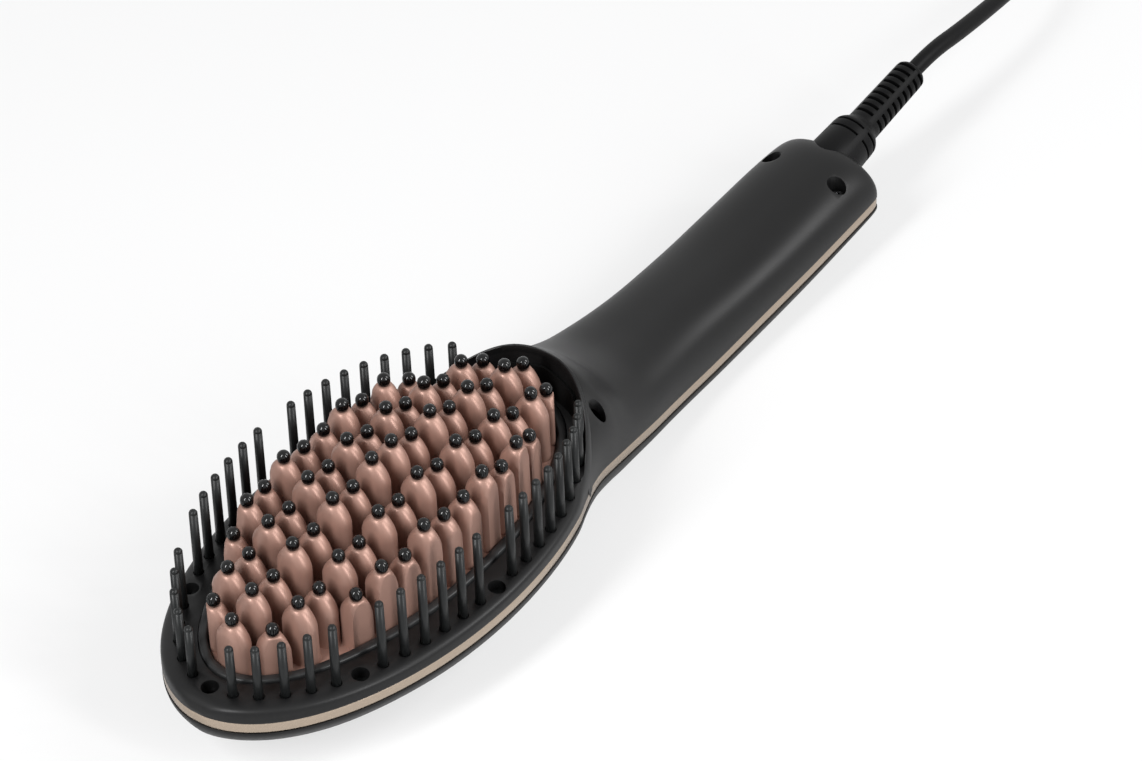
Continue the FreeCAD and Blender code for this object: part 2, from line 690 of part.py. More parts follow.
SHIELD_TOP = PLATE_BOTTOM - SHIELD_DROP
SHIELD_BOTTOM = SHIELD_TOP - SHIELD_THICK
PTC_BOTTOM = PLATE_BOTTOM - PTC_THICK
MICA_BOTTOM = PTC_BOTTOM - MICA_THICK
COMB_TOP = -WALL - COMB_DROP
COMB_BOTTOM = COMB_TOP - COMB_THICK
FACE_Z = FLOOR_Z + FASCIA_SINK
WELL_Z = FACE_Z + FASCIA_THICK
INSIDE_Z = FLOOR_Z + LAND_WALL
STEM_TOP = INSIDE_Z + 0.3 + BUTTON_FLANGE_THICK + 1.8
PLUNGER_TIP = STEM_TOP + BUTTON_TRAVEL + PRESS_GAP
PCB_BOTTOM = PLUNGER_TIP + PLUNGER_HEIGHT + SWITCH_HEIGHT


def ptc_heater():
    w = PTC_HALF_WIDTH
    n = PTC_HALF_LENGTH
    bars = []
    for x0, x1 in ((-w, -0.5), (0.5, w)):
        bars.append(block(x0, x1, PLATE_Y - n, PLATE_Y + n, PTC_BOTTOM, PLATE_BOTTOM))
    return Part.makeCompound(bars)


def mica_sheet():
    w = PTC_HALF_WIDTH + MICA_MARGIN
    n = PTC_HALF_LENGTH + MICA_MARGIN
    return block(-w, w, PLATE_Y - n, PLATE_Y + n, MICA_BOTTOM, PTC_BOTTOM)


def heater_bracket():
    """Pressed channel that holds the heater bars against the plate."""
    w = PTC_HALF_WIDTH + BRACKET_MARGIN
    n = PTC_HALF_LENGTH - 6.0
    t = BRACKET_THICK
    z1 = MICA_BOTTOM
    pan = block(-w, w, PLATE_Y - n, PLATE_Y + n, z1 - t, z1)
    walls = []
    for s in (-1, 1):
        x0 = min(s * w, s * (w - t))
        walls.append(block(x0, x0 + t, PLATE_Y - n, PLATE_Y + n, z1 - t, PLATE_BOTTOM))
    channel = pan.multiFuse(walls)
    slots = [block(-4, 4, PLATE_Y + y - 6, PLATE_Y + y + 6, z1 - 5, z1 + 1) for y in (-24, 0, 24)]
    return channel.cut(Part.makeCompound(slots))


def heat_shield():
    a = PLATE_HALF_WIDTH - SHIELD_INSET
    b = PLATE_HALF_LENGTH - SHIELD_INSET
    sheet = oval(a, b, PLATE_Y, SHIELD_BOTTOM, SHIELD_TOP)
    vents = [block(-3, 3, PLATE_Y + y - 5, PLATE_Y + y + 5, -40, 0) for y in (-44, 36)]
    notch = block(-7.5, 7.5, PLATE_Y + 46, PLATE_Y + 80, -40, 0)
    return sheet.cut(Part.makeCompound(vents + [notch]))


def sensor():
    return block(-SENSOR_X - 2, 2 - SENSOR_X, PLATE_Y - 4, PLATE_Y + 4, PLATE_BOTTOM - 2.5, PLATE_BOTTOM)


def cutoff():
    r = CUTOFF_RADIUS
    can = Part.makeCylinder(r, 14.0, Vector(SENSOR_X, PLATE_Y - 7, PLATE_BOTTOM - r), Vector(0, 1, 0))
    foot = block(SENSOR_X - r, SENSOR_X + r, PLATE_Y - 5, PLATE_Y + 5, PLATE_BOTTOM - r / 2, PLATE_BOTTOM)
    return can.fuse(foot)


# ---- control parts --------------------------------------------------------------------------------------

def fascia():
    slab = stadium(FASCIA_HALF_WIDTH - 0.1, FASCIA_START + 0.1, FASCIA_END - 0.1, FACE_Z, WELL_Z)
    cuts = [round_block(WINDOW_HALF_WIDTH, WINDOW_HALF_LENGTH, WINDOW_Y, WINDOW_RADIUS, -40, -24)]
    for y in BUTTON_YS:
        cuts.append(rod(BUTTON_RADIUS + BUTTON_CLEAR, 0, y, -40.0, -24.0))
    return slab.cut(Part.makeCompound(cuts))


def display_window():
    hx = WINDOW_HALF_WIDTH - 0.1
    hy = WINDOW_HALF_LENGTH - 0.1
    return round_block(hx, hy, WINDOW_Y, WINDOW_RADIUS - 0.1, FACE_Z, WELL_Z)


def display_module():
    hx = WINDOW_HALF_WIDTH - 0.5
    hy = WINDOW_HALF_LENGTH - 0.5
    return block(-hx, hx, WINDOW_Y - hy, WINDOW_Y + hy, WELL_Z + 0.1, PCB_BOTTOM)


def button(y):
    cap = rod(BUTTON_RADIUS, 0, y, FACE_Z - BUTTON_PROUD, INSIDE_Z + 0.3)
    cap = cap.makeChamfer(0.3, [e for e in cap.Edges if e.BoundBox.ZMax < FACE_Z - BUTTON_PROUD + 0.01])
    z = INSIDE_Z + 0.3
    flange = prism(8, BUTTON_FLANGE, 0, y, z, z + BUTTON_FLANGE_THICK)
    stem = prism(8, BUTTON_STEM, 0, y, z, STEM_TOP)
    return cap.fuse(flange).fuse(stem)


def tact_switches():
    out = []
    h = SWITCH_SIZE / 2.0
    for y in BUTTON_YS:
        z = PLUNGER_TIP + PLUNGER_HEIGHT
        case = block(-h, h, y - h, y + h, z, PCB_BOTTOM)
        out.append(case.fuse(prism(8, PLUNGER_RADIUS, 0, y, PLUNGER_TIP, z + 0.5)))
    return Part.makeCompound(out)


def control_board():
    w = PCB_HALF_WIDTH
    board = block(-w, w, PCB_START, PCB_END, PCB_BOTTOM, PCB_BOTTOM + PCB_THICK)
    z = PCB_BOTTOM + PCB_THICK
    tall = rod(3.2, 4.5, PCB_END - 9.0, z, z + 6.0)
    relay = block(-8.0, 1.0, PCB_END - 26.0, PCB_END - 12.0, z, z + 5.5)
    chip = block(-3.0, 3.0, PCB_START + 18.0, PCB_START + 28.0, z, z + 1.5)
    block_ = block(-7.0, 7.0, PCB_START + 3.0, PCB_START + 9.0, z, z + 5.0)
    return board.multiFuse([tall, relay, chip, block_])


# ---- wires: straight runs joined by tangent arcs ---------------------------------------------------------

def route(points, share=0.45, report=None):
    """Wire through the points, every corner rounded by a tangent arc."""
    n = len(points)
    starts = [points[0]]
    edges = []
    radii = []
    for i in range(1, n - 1):
        a, b, c = points[i - 1], points[i], points[i + 1]
        u = (a - b).normalize()
        v = (c - b).normalize()
        short = min(a.distanceToPoint(b), b.distanceToPoint(c))
        cut = share * short
        turn = math.pi - math.acos(max(-1.0, min(1.0, u.dot(v))))
        radii.append(cut / math.tan(turn / 2.0))
        p = b + u * cut
        q = b + v * cut
        m = (u + v).normalize()
        reach = radii[-1] / math.cos(turn / 2.0)
        centre = b + m * reach
        mid = centre + (b - centre).normalize() * radii[-1]
        edges.append(Part.LineSegment(starts[-1], p).toShape())
        edges.append(Part.Arc(p, mid, q).toShape())
        starts.append(q)
    edges.append(Part.LineSegment(starts[-1], points[-1]).toShape())
    if report:
        print(report, "radii", " ".join("%.0f" % r for r in radii))
    return Part.Wire(edges)


def thin_wire(points):
    """Insulated wire drawn six-sided."""
    lengthways = (points[1] - points[0]).normalize()
    section = ring_of(6, 0, 0, 0, WIRE_RADIUS)
    section.Placement = FreeCAD.Placement(points[0], FreeCAD.Rotation(Vector(0, 0, 1), lengthways))
    return route(points).makePipeShell([section], True, True)


def tube(points, r, report=None):
    wire = route(points, 0.45, report)
    lengthways = (points[1] - points[0]).normalize()
    circle = Part.Wire([Part.makeCircle(r, points[0], lengthways)])
    solid = wire.makePipeShell([circle], True, True)
    if report:
        want = math.pi * r * r * wire.Length
        print(report, "length %.1f mm" % wire.Length, "volume ratio %.4f" % (solid.Volume / want))
    return solid


def along(s):
    return AXIS_FOOT + AXIS * s


DISC_IN = COLLAR_BACK - SWIVEL_GAP - SPIGOT_DISC_THICK


def mains_wires():
    """Two insulated leads from the swivel's contacts to the board."""
    out = []
    z = PCB_BOTTOM + PCB_THICK
    start = along(DISC_IN - 0.3)
    for s in (-1, 1):
        x = s * 2.2
        points = [
            Vector(x, start.y, start.z),
            Vector(x, start.y - 12.0, start.z - 2.0),
            Vector(x * 1.4, PCB_END + 8.0, z + 3.4),
            Vector(x * 1.4, PCB_END - 2.0, z + WIRE_RADIUS + 0.2),
        ]
        out.append(thin_wire(points))
    return Part.makeCompound(out)


def heater_wires():
    """Leads from the heater bars to the board's terminal block."""
    out = []
    z = PCB_BOTTOM + PCB_THICK
    y0 = PLATE_Y + PTC_HALF_LENGTH
    for s in (-1, 1):
        x = s * 5.0
        points = [
            Vector(x, y0, PTC_BOTTOM + 2.0),
            Vector(x, y0 + 5.0, PTC_BOTTOM + 1.4),
            Vector(x, PCB_START - 6.0, z + 3.4),
            Vector(x, PCB_START + 3.0, z + 2.6),
        ]
        out.append(thin_wire(points))
    return Part.makeCompound(out)


# ---- swivel, boot, cord -----------------------------------------------------------------------------------

def swivel_collar():
    """Flanged bush held between the shells, in which the boot's spigot turns."""
    bore = SPIGOT_RADIUS + SPIGOT_CLEAR
    flange = COLLAR_BACK + COLLAR_FLANGE_THICK
    profile = [
        (COLLAR_BACK, bore),
        (COLLAR_BACK, COLLAR_FLANGE),
        (flange, COLLAR_FLANGE),
        (flange, COLLAR_RADIUS),
        (-COLLAR_DEPTH, COLLAR_RADIUS),
        (-COLLAR_DEPTH, bore),
    ]
    return turned(profile)


def cord_boot():
    """Strain relief that turns in the collar, slotted so that it can bend."""
    start = SWIVEL_GAP - COLLAR_DEPTH
    profile = [
        (DISC_IN, 0.0),
        (DISC_IN, SPIGOT_DISC),
        (DISC_IN + SPIGOT_DISC_THICK, SPIGOT_DISC),
        (DISC_IN + SPIGOT_DISC_THICK, SPIGOT_RADIUS),
        (start, SPIGOT_RADIUS),
        (start, BOOT_BASE_RADIUS),
        (0.0, BOOT_BASE_RADIUS),
        (BOOT_SHOULDER, BOOT_SHOULDER_RADIUS),
        (BOOT_NECK, BOOT_RADIUS),
        (BOOT_END - 1.2, BOOT_TIP_RADIUS),
        (BOOT_END, BOOT_TIP_RADIUS - 1.0),
        (BOOT_END, 0.0),
    ]
    boot = turned(profile)
    across = Vector(1, 0, 0)
    up = across.cross(AXIS).normalize()
    r = BOOT_BASE_RADIUS + 1.0
    rings = [(s, BASE_SLOT_WIDTH, BASE_SPINE) for s in BASE_SLOTS]
    rings += [(BOOT_SLOT_START + i * BOOT_SLOT_PITCH, BOOT_SLOT_WIDTH, BOOT_SPINE) for i in range(BOOT_SLOTS)]
    cuts = []
    for s, width, k in rings:
        n = k - BOOT_BRIDGE
        e = s + width
        cuts += [block(-n, n, s, e, k, r), block(-n, n, s, e, -r, -k)]
        cuts += [block(k, r, s, e, -n, n), block(-r, -k, s, e, -n, n)]
    tool = Part.makeCompound(cuts)
    tool.Placement = FreeCAD.Placement(AXIS_FOOT, FreeCAD.Rotation(across, AXIS, up, "XYZ"))
    return boot.cut(tool)


CORD_START = along(BOOT_END)

# Outside of the coil, and the line on which the lead meets and leaves it.
COIL_RADIUS = COIL_TURN + CORD_RADIUS + 0.05
COIL_HEIGHT = COIL_LAYERS * 2.0 * CORD_RADIUS + 0.2
COIL_SIDE_X = COIL_CENTRE[0] - COIL_TURN
COIL_TOP_Z = LEAD_Z + (COIL_LAYERS - 1) * 2.0 * CORD_RADIUS
PLUG_Z = FLOOR_Z + PLUG_HALF_THICK
PLUG_Y = COIL_CENTRE[1] + sum(TAIL_RUNS)
PLUG_FACE_Y = PLUG_Y + SLEEVE_LENGTH + PLUG_LENGTH


def cord_points():
    """Route of the lead from the boot, down to the surface and to the coil."""
    return [
        CORD_START,
        CORD_START + AXIS * 9.0,
        Vector(0.0, 272.0, 0.1),
        Vector(-3.0, 300.0, -4.6),
        Vector(-10.0, 328.0, -13.5),
        Vector(-20.0, 356.0, -23.2),
        Vector(COIL_SIDE_X, 374.0, LEAD_Z),
        Vector(COIL_SIDE_X, COIL_CENTRE[1] - COIL_ENTRY, LEAD_Z),
    ]


def tail_points():
    """Lead's other end, from the top of the coil down to the plug."""
    y = COIL_CENTRE[1]
    out = [Vector(COIL_SIDE_X, y, COIL_TOP_Z)]
    for run, z in zip(TAIL_RUNS, (COIL_TOP_Z, PLUG_Z, PLUG_Z)):
        y = y + run
        out.append(Vector(COIL_SIDE_X, y, z))
    return out


def cord_coil():
    """Wound stretch of the lead, with the two ends that run along its side."""
    cx, cy = COIL_CENTRE
    disc = rod(COIL_RADIUS, cx, cy, FLOOR_Z, FLOOR_Z + COIL_HEIGHT)
    disc = disc.makeChamfer(2.0, [e for e in disc.Edges if e.Closed])
    start = Vector(COIL_SIDE_X, cy - COIL_ENTRY, LEAD_Z)
    entry = Part.makeCylinder(CORD_RADIUS, COIL_ENTRY, start, Vector(0, 1, 0))
    return disc.fuse(entry).fuse(tube(tail_points(), CORD_RADIUS))


# ---- plug beyond the coil -----------------------------------------------------------------------------------

def plug_body():
    """Two-pin plug lying flat, its sleeve in line with the lead's end."""
    y0 = PLUG_Y + SLEEVE_LENGTH
    half = PIN_SPACING / 2.0 + 8.0
    right = [(5.0, y0 - 3.0), (half, y0 + 12.0), (half, PLUG_FACE_Y - 3.5), (half - 3.5, PLUG_FACE_Y)]
    pts = right + [(-x, y) for x, y in reversed(right)]
    outline = Part.makePolygon([Vector(COIL_SIDE_X + x, y, FLOOR_Z) for x, y in pts + pts[:1]])
    grip = Part.Face(outline).extrude(Vector(0, 0, 2 * PLUG_HALF_THICK))
    grip = grip.makeChamfer(1.5, [e for e in grip.Edges if abs(e.tangentAt(e.FirstParameter).z) < 0.01])
    sleeve = Part.makeCone(3.2, 4.6, SLEEVE_LENGTH, Vector(COIL_SIDE_X, PLUG_Y, PLUG_Z), Vector(0, 1, 0))
    return grip.fuse(sleeve)


def plug_pins():
    pins = []
    for s in (-1, 1):
        base = Vector(COIL_SIDE_X + s * PIN_SPACING / 2.0, PLUG_FACE_Y, PLUG_Z)
        pin = Part.makeCylinder(PIN_RADIUS, PIN_LENGTH, base, Vector(0, 1, 0))
        tip = [e for e in pin.Edges if e.BoundBox.YMin > PLUG_FACE_Y + PIN_LENGTH - 0.01]
        pins.append(pin.makeChamfer(0.7, tip))
    return Part.makeCompound(pins)


for name, make in (
    ("front_shell", front_shell),
    ("back_shell", back_shell),
    ("trim_strip", trim_strip),
    ("hood_liner", hood_liner),
    ("heater_plate", heater_plate),
    ("ball_tips", lambda: Part.makeCompound([ball(*t) for t in TEETH])),
    ("plate_bezel", bezel),
    ("guard_comb_right", lambda: guard_comb(1)),
    ("guard_comb_left", lambda: guard_comb(-1)),
    ("deck_screws", lambda: Part.makeCompound([screw(s[0], s[1], s[3]) for s in SCREWS[:5]])),
    ("neck_screws", lambda: Part.makeCompound([screw(s[0], s[1], s[3]) for s in SCREWS[5:7]])),
    ("end_screws", lambda: Part.makeCompound([screw(s[0], s[1], s[3]) for s in SCREWS[7:]])),
    ("ptc_heater", ptc_heater),
    ("mica_sheet", mica_sheet),
    ("heater_bracket", heater_bracket),
    ("heat_shield", heat_shield),
    ("temperature_sensor", sensor),
    ("thermal_cutoff", cutoff),
    ("fascia", fascia),
    ("display_window", display_window),
    ("display_module", display_module),
    ("power_button", lambda: button(BUTTON_YS[0])),
    ("minus_button", lambda: button(BUTTON_YS[1])),
    ("plus_button", lambda: button(BUTTON_YS[2])),
    ("tact_switches", tact_switches),
    ("control_board", control_board),
    ("mains_wires", mains_wires),
    ("heater_wires", heater_wires),
    ("swivel_collar", swivel_collar),
    ("cord_boot", cord_boot),
    ("cord_lead", lambda: tube(cord_points(), CORD_RADIUS, "cord_lead")),
    ("cord_coil", cord_coil),
    ("plug_body", plug_body),
    ("plug_pins", plug_pins),
):
    EXPORTS[name] = make()


Y_MID = (TIP_Y + HANDLE_END_Y) / 2.0
SHIFT = Vector(0, -Y_MID, BACK_DEPTH)

os.makedirs("parts", exist_ok=True)
for name, shape in EXPORTS.items():
    moved = shape.copy()
    moved.translate(SHIFT)
    moved.exportStep("parts/%s.step" % name)
    if not moved.isValid() or len(moved.Solids) < 1:
        print("CHECK", name, moved.isValid(), len(moved.Solids))
print("shift", SHIFT, "slots", len(SLOTS), "teeth", len(TEETH))
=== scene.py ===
"""Looks of a heated straightening brush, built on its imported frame.

Lengths inside the functions are millimetres on the deck's own grid: X across,
Y from the head's tip to the lead, Z up with 0 on the deck. at() turns them
into metres on the frame.
"""

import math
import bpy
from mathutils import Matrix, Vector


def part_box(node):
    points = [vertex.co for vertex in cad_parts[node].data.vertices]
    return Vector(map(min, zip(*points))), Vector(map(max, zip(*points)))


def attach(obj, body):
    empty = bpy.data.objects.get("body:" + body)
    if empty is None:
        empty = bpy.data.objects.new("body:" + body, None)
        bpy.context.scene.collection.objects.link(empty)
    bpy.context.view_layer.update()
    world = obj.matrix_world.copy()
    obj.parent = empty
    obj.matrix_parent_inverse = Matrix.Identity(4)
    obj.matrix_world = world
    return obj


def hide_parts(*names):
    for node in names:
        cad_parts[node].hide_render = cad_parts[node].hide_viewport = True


bl_info = {
    "name": "Heated Brush Looks",
    "version": (1, 0, 0),
    "blender": (4, 5, 0),
    "location": "View3D > Sidebar > Brush",
    "description": "Smooth shells, fins, bristles, controls, lead and finishes for a heated brush",
    "category": "Object",
}

import bmesh
import bpy
from mathutils import Matrix, Vector

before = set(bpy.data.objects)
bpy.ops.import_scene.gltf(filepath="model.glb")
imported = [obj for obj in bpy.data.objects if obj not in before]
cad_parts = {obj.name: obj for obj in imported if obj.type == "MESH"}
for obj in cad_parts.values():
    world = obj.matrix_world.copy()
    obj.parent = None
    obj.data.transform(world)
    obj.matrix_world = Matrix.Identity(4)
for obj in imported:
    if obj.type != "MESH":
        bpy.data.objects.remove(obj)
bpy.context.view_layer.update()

MM = 0.001
BACK_DEPTH = 28.0
TIP_Y = -70.5
SHIFT_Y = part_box("front_shell")[0][1] / MM - TIP_Y

# ---- the body's form, as the frame has it ----
HEAD_A = 40.2
HEAD_B = 75.5
HEAD_Y = 5.0
END_Y = 207.0
HANDLE_W = 17.2
HOOD = 13.2
TRIM_H = 3.4
TRIM_DEPTH = 1.35
# Upper half of the trim's crowned face, as distance outwards and height below its edge.
TRIM_FACE = ((-0.26, 0.0), (-0.11, -0.13), (0.0, -0.45), (0.05, -1.0), (0.07, -TRIM_H / 2.0))
WALL = 2.2
LAND_WALL = 2.7
LAND_Z = -BACK_DEPTH
POCKET = (40.0, 71.1)
POCKET_WALL = 1.6
# The hood's lip: angles at which it starts and over which it rises, how far its ends
# sink into the skin, and its section as distance from the opening and height.
LIP_START = 44.0
LIP_FADE = 9.0
LIP_SINK = 0.25
LIP_PROFILE = ((-0.05, -1.2), (-0.05, 0.7), (0.12, 1.0), (0.5, 1.12), (0.95, 0.95), (1.3, 0.5), (1.6, -0.7))
PLATE = (27.0, 64.0)
PLATE_Y = 7.0
PLATE_TOP = -0.8
LEG_X = 18.0
LEG_YS = (-22.0, 32.0)
LEG_RADIUS = 2.5
LEG_FOOT = -12.2
BEZEL_OUT = (30.0, 67.0)
BEZEL_TOP = 0.7
BEZEL_FOOT = 0.5
BEZEL_PLAY = 0.25
# Section of the frame round the plate: distance from its outer edge and height.
BEZEL_PROFILE = (
    (-0.3, -7.0), (1.7, -7.0), (1.7, -5.8), (0.0, -5.8), (0.0, BEZEL_TOP - 0.5),
    (-0.15, BEZEL_TOP - 0.15), (-0.5, BEZEL_TOP), (-2.1, BEZEL_TOP), (-2.45, BEZEL_TOP - 0.15),
    (-2.6, BEZEL_TOP - 0.5), (-2.6, -3.8), (-5.2, -3.8), (-5.2, -7.0),
)

# Head: place along the oval, parting, crest, keel, upper and lower exponent.
HEAD_ROWS = (
    (-0.9990, -4.8, -3.7, -9.3, 4.0, 1.6),
    (-0.9900, -4.8, -1.9, -11.2, 4.5, 1.6),
    (-0.9650, -4.8, -0.7, -13.6, 5.5, 1.6),
    (-0.9100, -4.8, -0.25, -16.4, 5.5, 1.6),
    (-0.8200, -4.8, -0.06, -19.6, 5.5, 1.6),
    (-0.6800, -4.8, -0.05, -22.9, 5.5, 1.6),
    (-0.4800, -4.8, -0.05, -26.0, 5.5, 1.55),
    (-0.2200, -4.8, -0.05, -28.9, 5.5, 1.55),
    (0.0600, -4.8, -0.05, -30.2, 5.5, 1.55),
    (0.3200, -4.9, -0.05, -30.8, 5.5, 1.55),
    (0.5200, -5.3, 0.3, -31.0, 5.0, 1.6),
)
# Neck: y, half width, parting, share of the hood's height, keel, exponents.
NECK_ROWS = (
    (53.0, 30.6, -6.3, 0.27, -31.0, 3.6, 1.6),
    (60.0, 27.5, -7.6, 0.80, -31.0, 2.7, 1.65),
    (67.0, 25.2, -9.0, 0.97, -31.0, 2.5, 1.65),
    (75.0, 23.6, -10.8, 1.00, -31.0, 2.4, 1.65),
    (80.0, 22.8, -11.8, 0.80, -31.0, 2.3, 1.7),
    (87.0, 21.8, -13.0, 0.38, -31.0, 2.3, 1.7),
)
# Handle: y, half width beyond the handle's own, parting, crest, keel, exponents.
HANDLE_ROWS = (
    (97.0, 3.2, -14.7, 0.6, -31.0, 2.45, 1.7),
    (107.0, 1.8, -16.0, -1.2, -31.0, 2.7, 1.7),
    (118.0, 0.8, -16.8, -1.8, -31.0, 2.7, 1.7),
    (130.0, 0.2, -17.0, -2.0, -31.0, 2.7, 1.7),
    (149.0, 0.0, -15.7, -2.2, -30.4, 2.7, 1.7),
    (163.0, 0.0, -14.6, -1.6, -29.0, 2.7, 1.7),
    (175.0, 0.0, -13.6, -0.6, -27.0, 2.6, 1.7),
    (188.0, 0.0, -12.2, 0.7, -24.4, 2.4, 1.7),
    (199.0, -0.2, -11.2, 1.5, -21.9, 2.2, 1.7),
    (204.3, -0.5, -10.8, 0.9, -20.2, 2.1, 1.7),
    (206.3, -1.2, -10.7, -0.5, -18.8, 2.1, 1.7),
    (207.0, -2.3, -10.6, -2.2, -17.6, 2.1, 1.7),
)

# ---- teeth, bristles, screws ----
# Bristles: half axes of their oval, pitch, closer pitch and the slot where it starts.
BRISTLE = (36.2, 69.5)
BRISTLE_PITCH = 6.74
BRISTLE_CLOSE_PITCH = 6.49
BRISTLE_CLOSE_SLOT = 14
BRISTLE_FULLNESS = 2.3
BRISTLE_COUNT = 23
BRISTLE_TOP = 22.5
BRISTLE_CREST = 0.0
BRISTLE_DROP = 7.7
BRISTLE_TAPER = (0.94, 1.05)
BRISTLE_FOOT = -4.2
STRIP_INNER = (30.4, 67.4)
STRIP_LEVELS = (-3.8, -5.6)
SCREW_SLOTS = (0, 6, 13)
# Radius, low and high end.
SCREW_HEAD = (1.85, 0.0, 1.5)
SCREW_SHANK = (1.2, -7.6, 0.2)
SCREW_CROSS = (0.34, 1.15)
SCREW_CROSS_FLOOR = 0.7
DECK_BORE = 2.4
HANDLE_BORE = 2.7
NECK_BORE = 2.2
BOSS_WALL = 1.2
BOSS_FLOOR = 1.5
BRISTLE_HOLE = 1.5
NECK_SCREW = (19.6, 72.8, -4.0)
END_SCREW = (11.1, 193.8, -6.0)
DECK_FLOOR = -6.0
# Fins: distance between columns, count in a column, the first one, pitch and how it
# shrinks, and the least distance of a fin's middle from the plate's edge.
FIN_COLUMN = 11.55
FIN_COUNT = 16
FIN_FIRST_Y = PLATE_Y - 61.1
FIN_PITCH = 8.45
FIN_CLOSING = 0.026
FIN_INSET = 2.2
# Half width at the ball's seat, depth over which the flank swells in shoulders, and the
# exponents of the dome and of the outline.
FIN_SEAT = 1.65
FIN_FLANK = 1.6
FIN_DOME = 1.34
FIN_SQUARENESS = 0.92
# Levels below the seat, in shoulders.
FIN_STEPS = (0.0, 0.02, 0.06, 0.12, 0.2, 0.3, 0.42, 0.56, 0.74, 1.0, 1.3, FIN_FLANK)
# Height over the plate, and how much wider and thicker the fin is there.
FIN_FOOT = ((1.4, 1.0, 1.0), (0.4, 1.03, 1.05), (-0.5, 1.07, 1.13))
# Balls: y and height of the tallest, how the rest fall off along and across the head,
# how much lower every second one is, and its centre above the fin.
BALL_CREST = (11.7, 28.4)
BALL_SPREAD = 10.0
BALL_CURVE = (0.42, 0.0043)
BALL_FALL = 0.194
BALL_STEP = 3.07
BALL_SEAT = 1.7
# Share of the ball's radius and height below its centre, down to the fin.
BALL_SKIRT = (
    (1.0, -0.25), (0.985, -0.65), (0.94, -1.05), (0.85, -1.45), (0.72, -1.8), (0.6, -2.4), (0.0, -2.4),
)

# ---- controls ----
FACE_Z = LAND_Z + 0.5
BUTTONS = (("power", 112.0), ("minus", 124.0), ("plus", 136.0))
# Radii of the hole in the shell and in the fascia, and of a key, its flange and its stem.
BUTTON_HOLE = 4.2
KEY_HOLE = 4.0
KEY_RADIUS = 3.9
KEY_FLANGE = 5.0
KEY_STEM = 1.6
# Half width, then first and last y.
RECESS = (8.0, 74.0, 146.0)
FASCIA = (7.9, 74.1, 145.9)
# Half width, half length, middle and corner radius.
WINDOW_HOLE = (5.6, 11.0, 92.0, 1.5)
WINDOW_PANE = (5.5, 10.9, 92.0, 1.4)

# ---- swivel and lead ----
TILT = math.radians(9.5)
AXIS = Vector((0.0, math.cos(TILT), math.sin(TILT)))
ACROSS = Vector((1, 0, 0))
AXIS_UP = ACROSS.cross(AXIS)
AXIS_FOOT = Vector((0.0, END_Y, -6.0))
SEAT_DEPTH = 3.0
SEAT_RADIUS = 7.9
SEAT_REACH = 30.0
AXLE = 0.001
BOOT_START = -2.7
BOOT_SHOULDER = 10.9
BOOT_NECK = 15.1
BOOT_END = 39.8
# Distance along the axis and radius, before and after the soft shoulder.
BOOT_BASE = (
    (-8.6, AXLE), (-8.6, 4.8), (-7.3, 4.8), (-7.3, 3.6), (BOOT_START, 3.6), (BOOT_START, 7.6),
    (0.0, 7.6), (BOOT_SHOULDER - 1.0, 7.2), (BOOT_SHOULDER, 7.1),
)
BOOT_TAIL = (
    (BOOT_NECK, 4.97), (BOOT_END - 1.8, 4.62), (BOOT_END - 0.9, 4.5), (BOOT_END - 0.2, 4.0),
    (BOOT_END, 3.2), (BOOT_END, AXLE),
)
BASE_SLOTS = (7.1, 10.2)
BOOT_SLOTS = 9
BOOT_SLOT_START = 16.6
BOOT_SLOT_PITCH = 2.59
# A slot's width, half length and depth from the axis.
BASE_SLOT = (0.75, 4.4, 4.75)
TAIL_SLOT = (1.1, 2.75, 3.1)
SLOT_REACH = 9.0
CORD_R = 2.45
LEAD_Z = LAND_Z + CORD_R + 0.15
COIL_CENTRE = (5.5, 408.0)
COIL_TURN = 32.0
COIL_TURNS = 9
COIL_LAYERS = 4
COIL_ENTRY = 18.0
COIL_SIDE_X = COIL_CENTRE[0] - COIL_TURN
COIL_TOP_Z = LEAD_Z + (COIL_LAYERS - 1) * 2.0 * CORD_R
TAIL_RUNS = (13.0, 20.0, 13.0)
PLUG_Z = LAND_Z + 7.0
PLUG_OVERLAP = 5.0
PLUG_OUTLINE = ((5.0, -34.5), (17.4, -20.0), (17.4, -4.0), (13.5, 0.0))
PLUG_HALF_DEPTH = 6.95
SLEEVE_END = 31.0
SLEEVE_RADII = (2.9, 3.15, 3.4, 3.65, 3.9, 4.2, 4.6)
PIN_RADII = (2.0, 2.0, 2.0, 2.0, 2.0, 1.9, 1.2)

# ---- camera ----
CAMERA_PLACE = Vector((0.8097, -0.9836, 1.1058))
CAMERA_AZIMUTH = math.radians(38.94)
CAMERA_ELEVATION = math.radians(40.0)
CAMERA_ROLL = math.radians(-2.636)
CAMERA_LENS = 197.8
CAMERA_SENSOR = 36.0
CAMERA_REACH = 20.0

# ---- floor and lamps ----
FLOOR_HALF = 6.0
FLOOR_WHITE = 0.62
# Name, place, what it is aimed at, width and length, power.
LAMPS = (
    ("front", (-0.05, -0.93, 0.80), (0.0, 0.0, 0.03), (0.20, 0.70), 11.6),
    ("side", (1.10, -0.10, 0.62), (0.0, 0.0, 0.03), (0.18, 0.70), 8.0),
    ("back", (0.80, 0.66, 0.84), (0.0, 0.10, 0.03), (0.22, 0.60), 7.6),
)


# ---- sizes and colours that a user would change ----

def colour(name, about, value):
    return bpy.props.FloatVectorProperty(name=name, description=about, subtype="COLOR", size=3, default=value)


def length(name, about, value):
    return bpy.props.FloatProperty(name=name, description=about, unit="LENGTH", default=value, min=0.0)


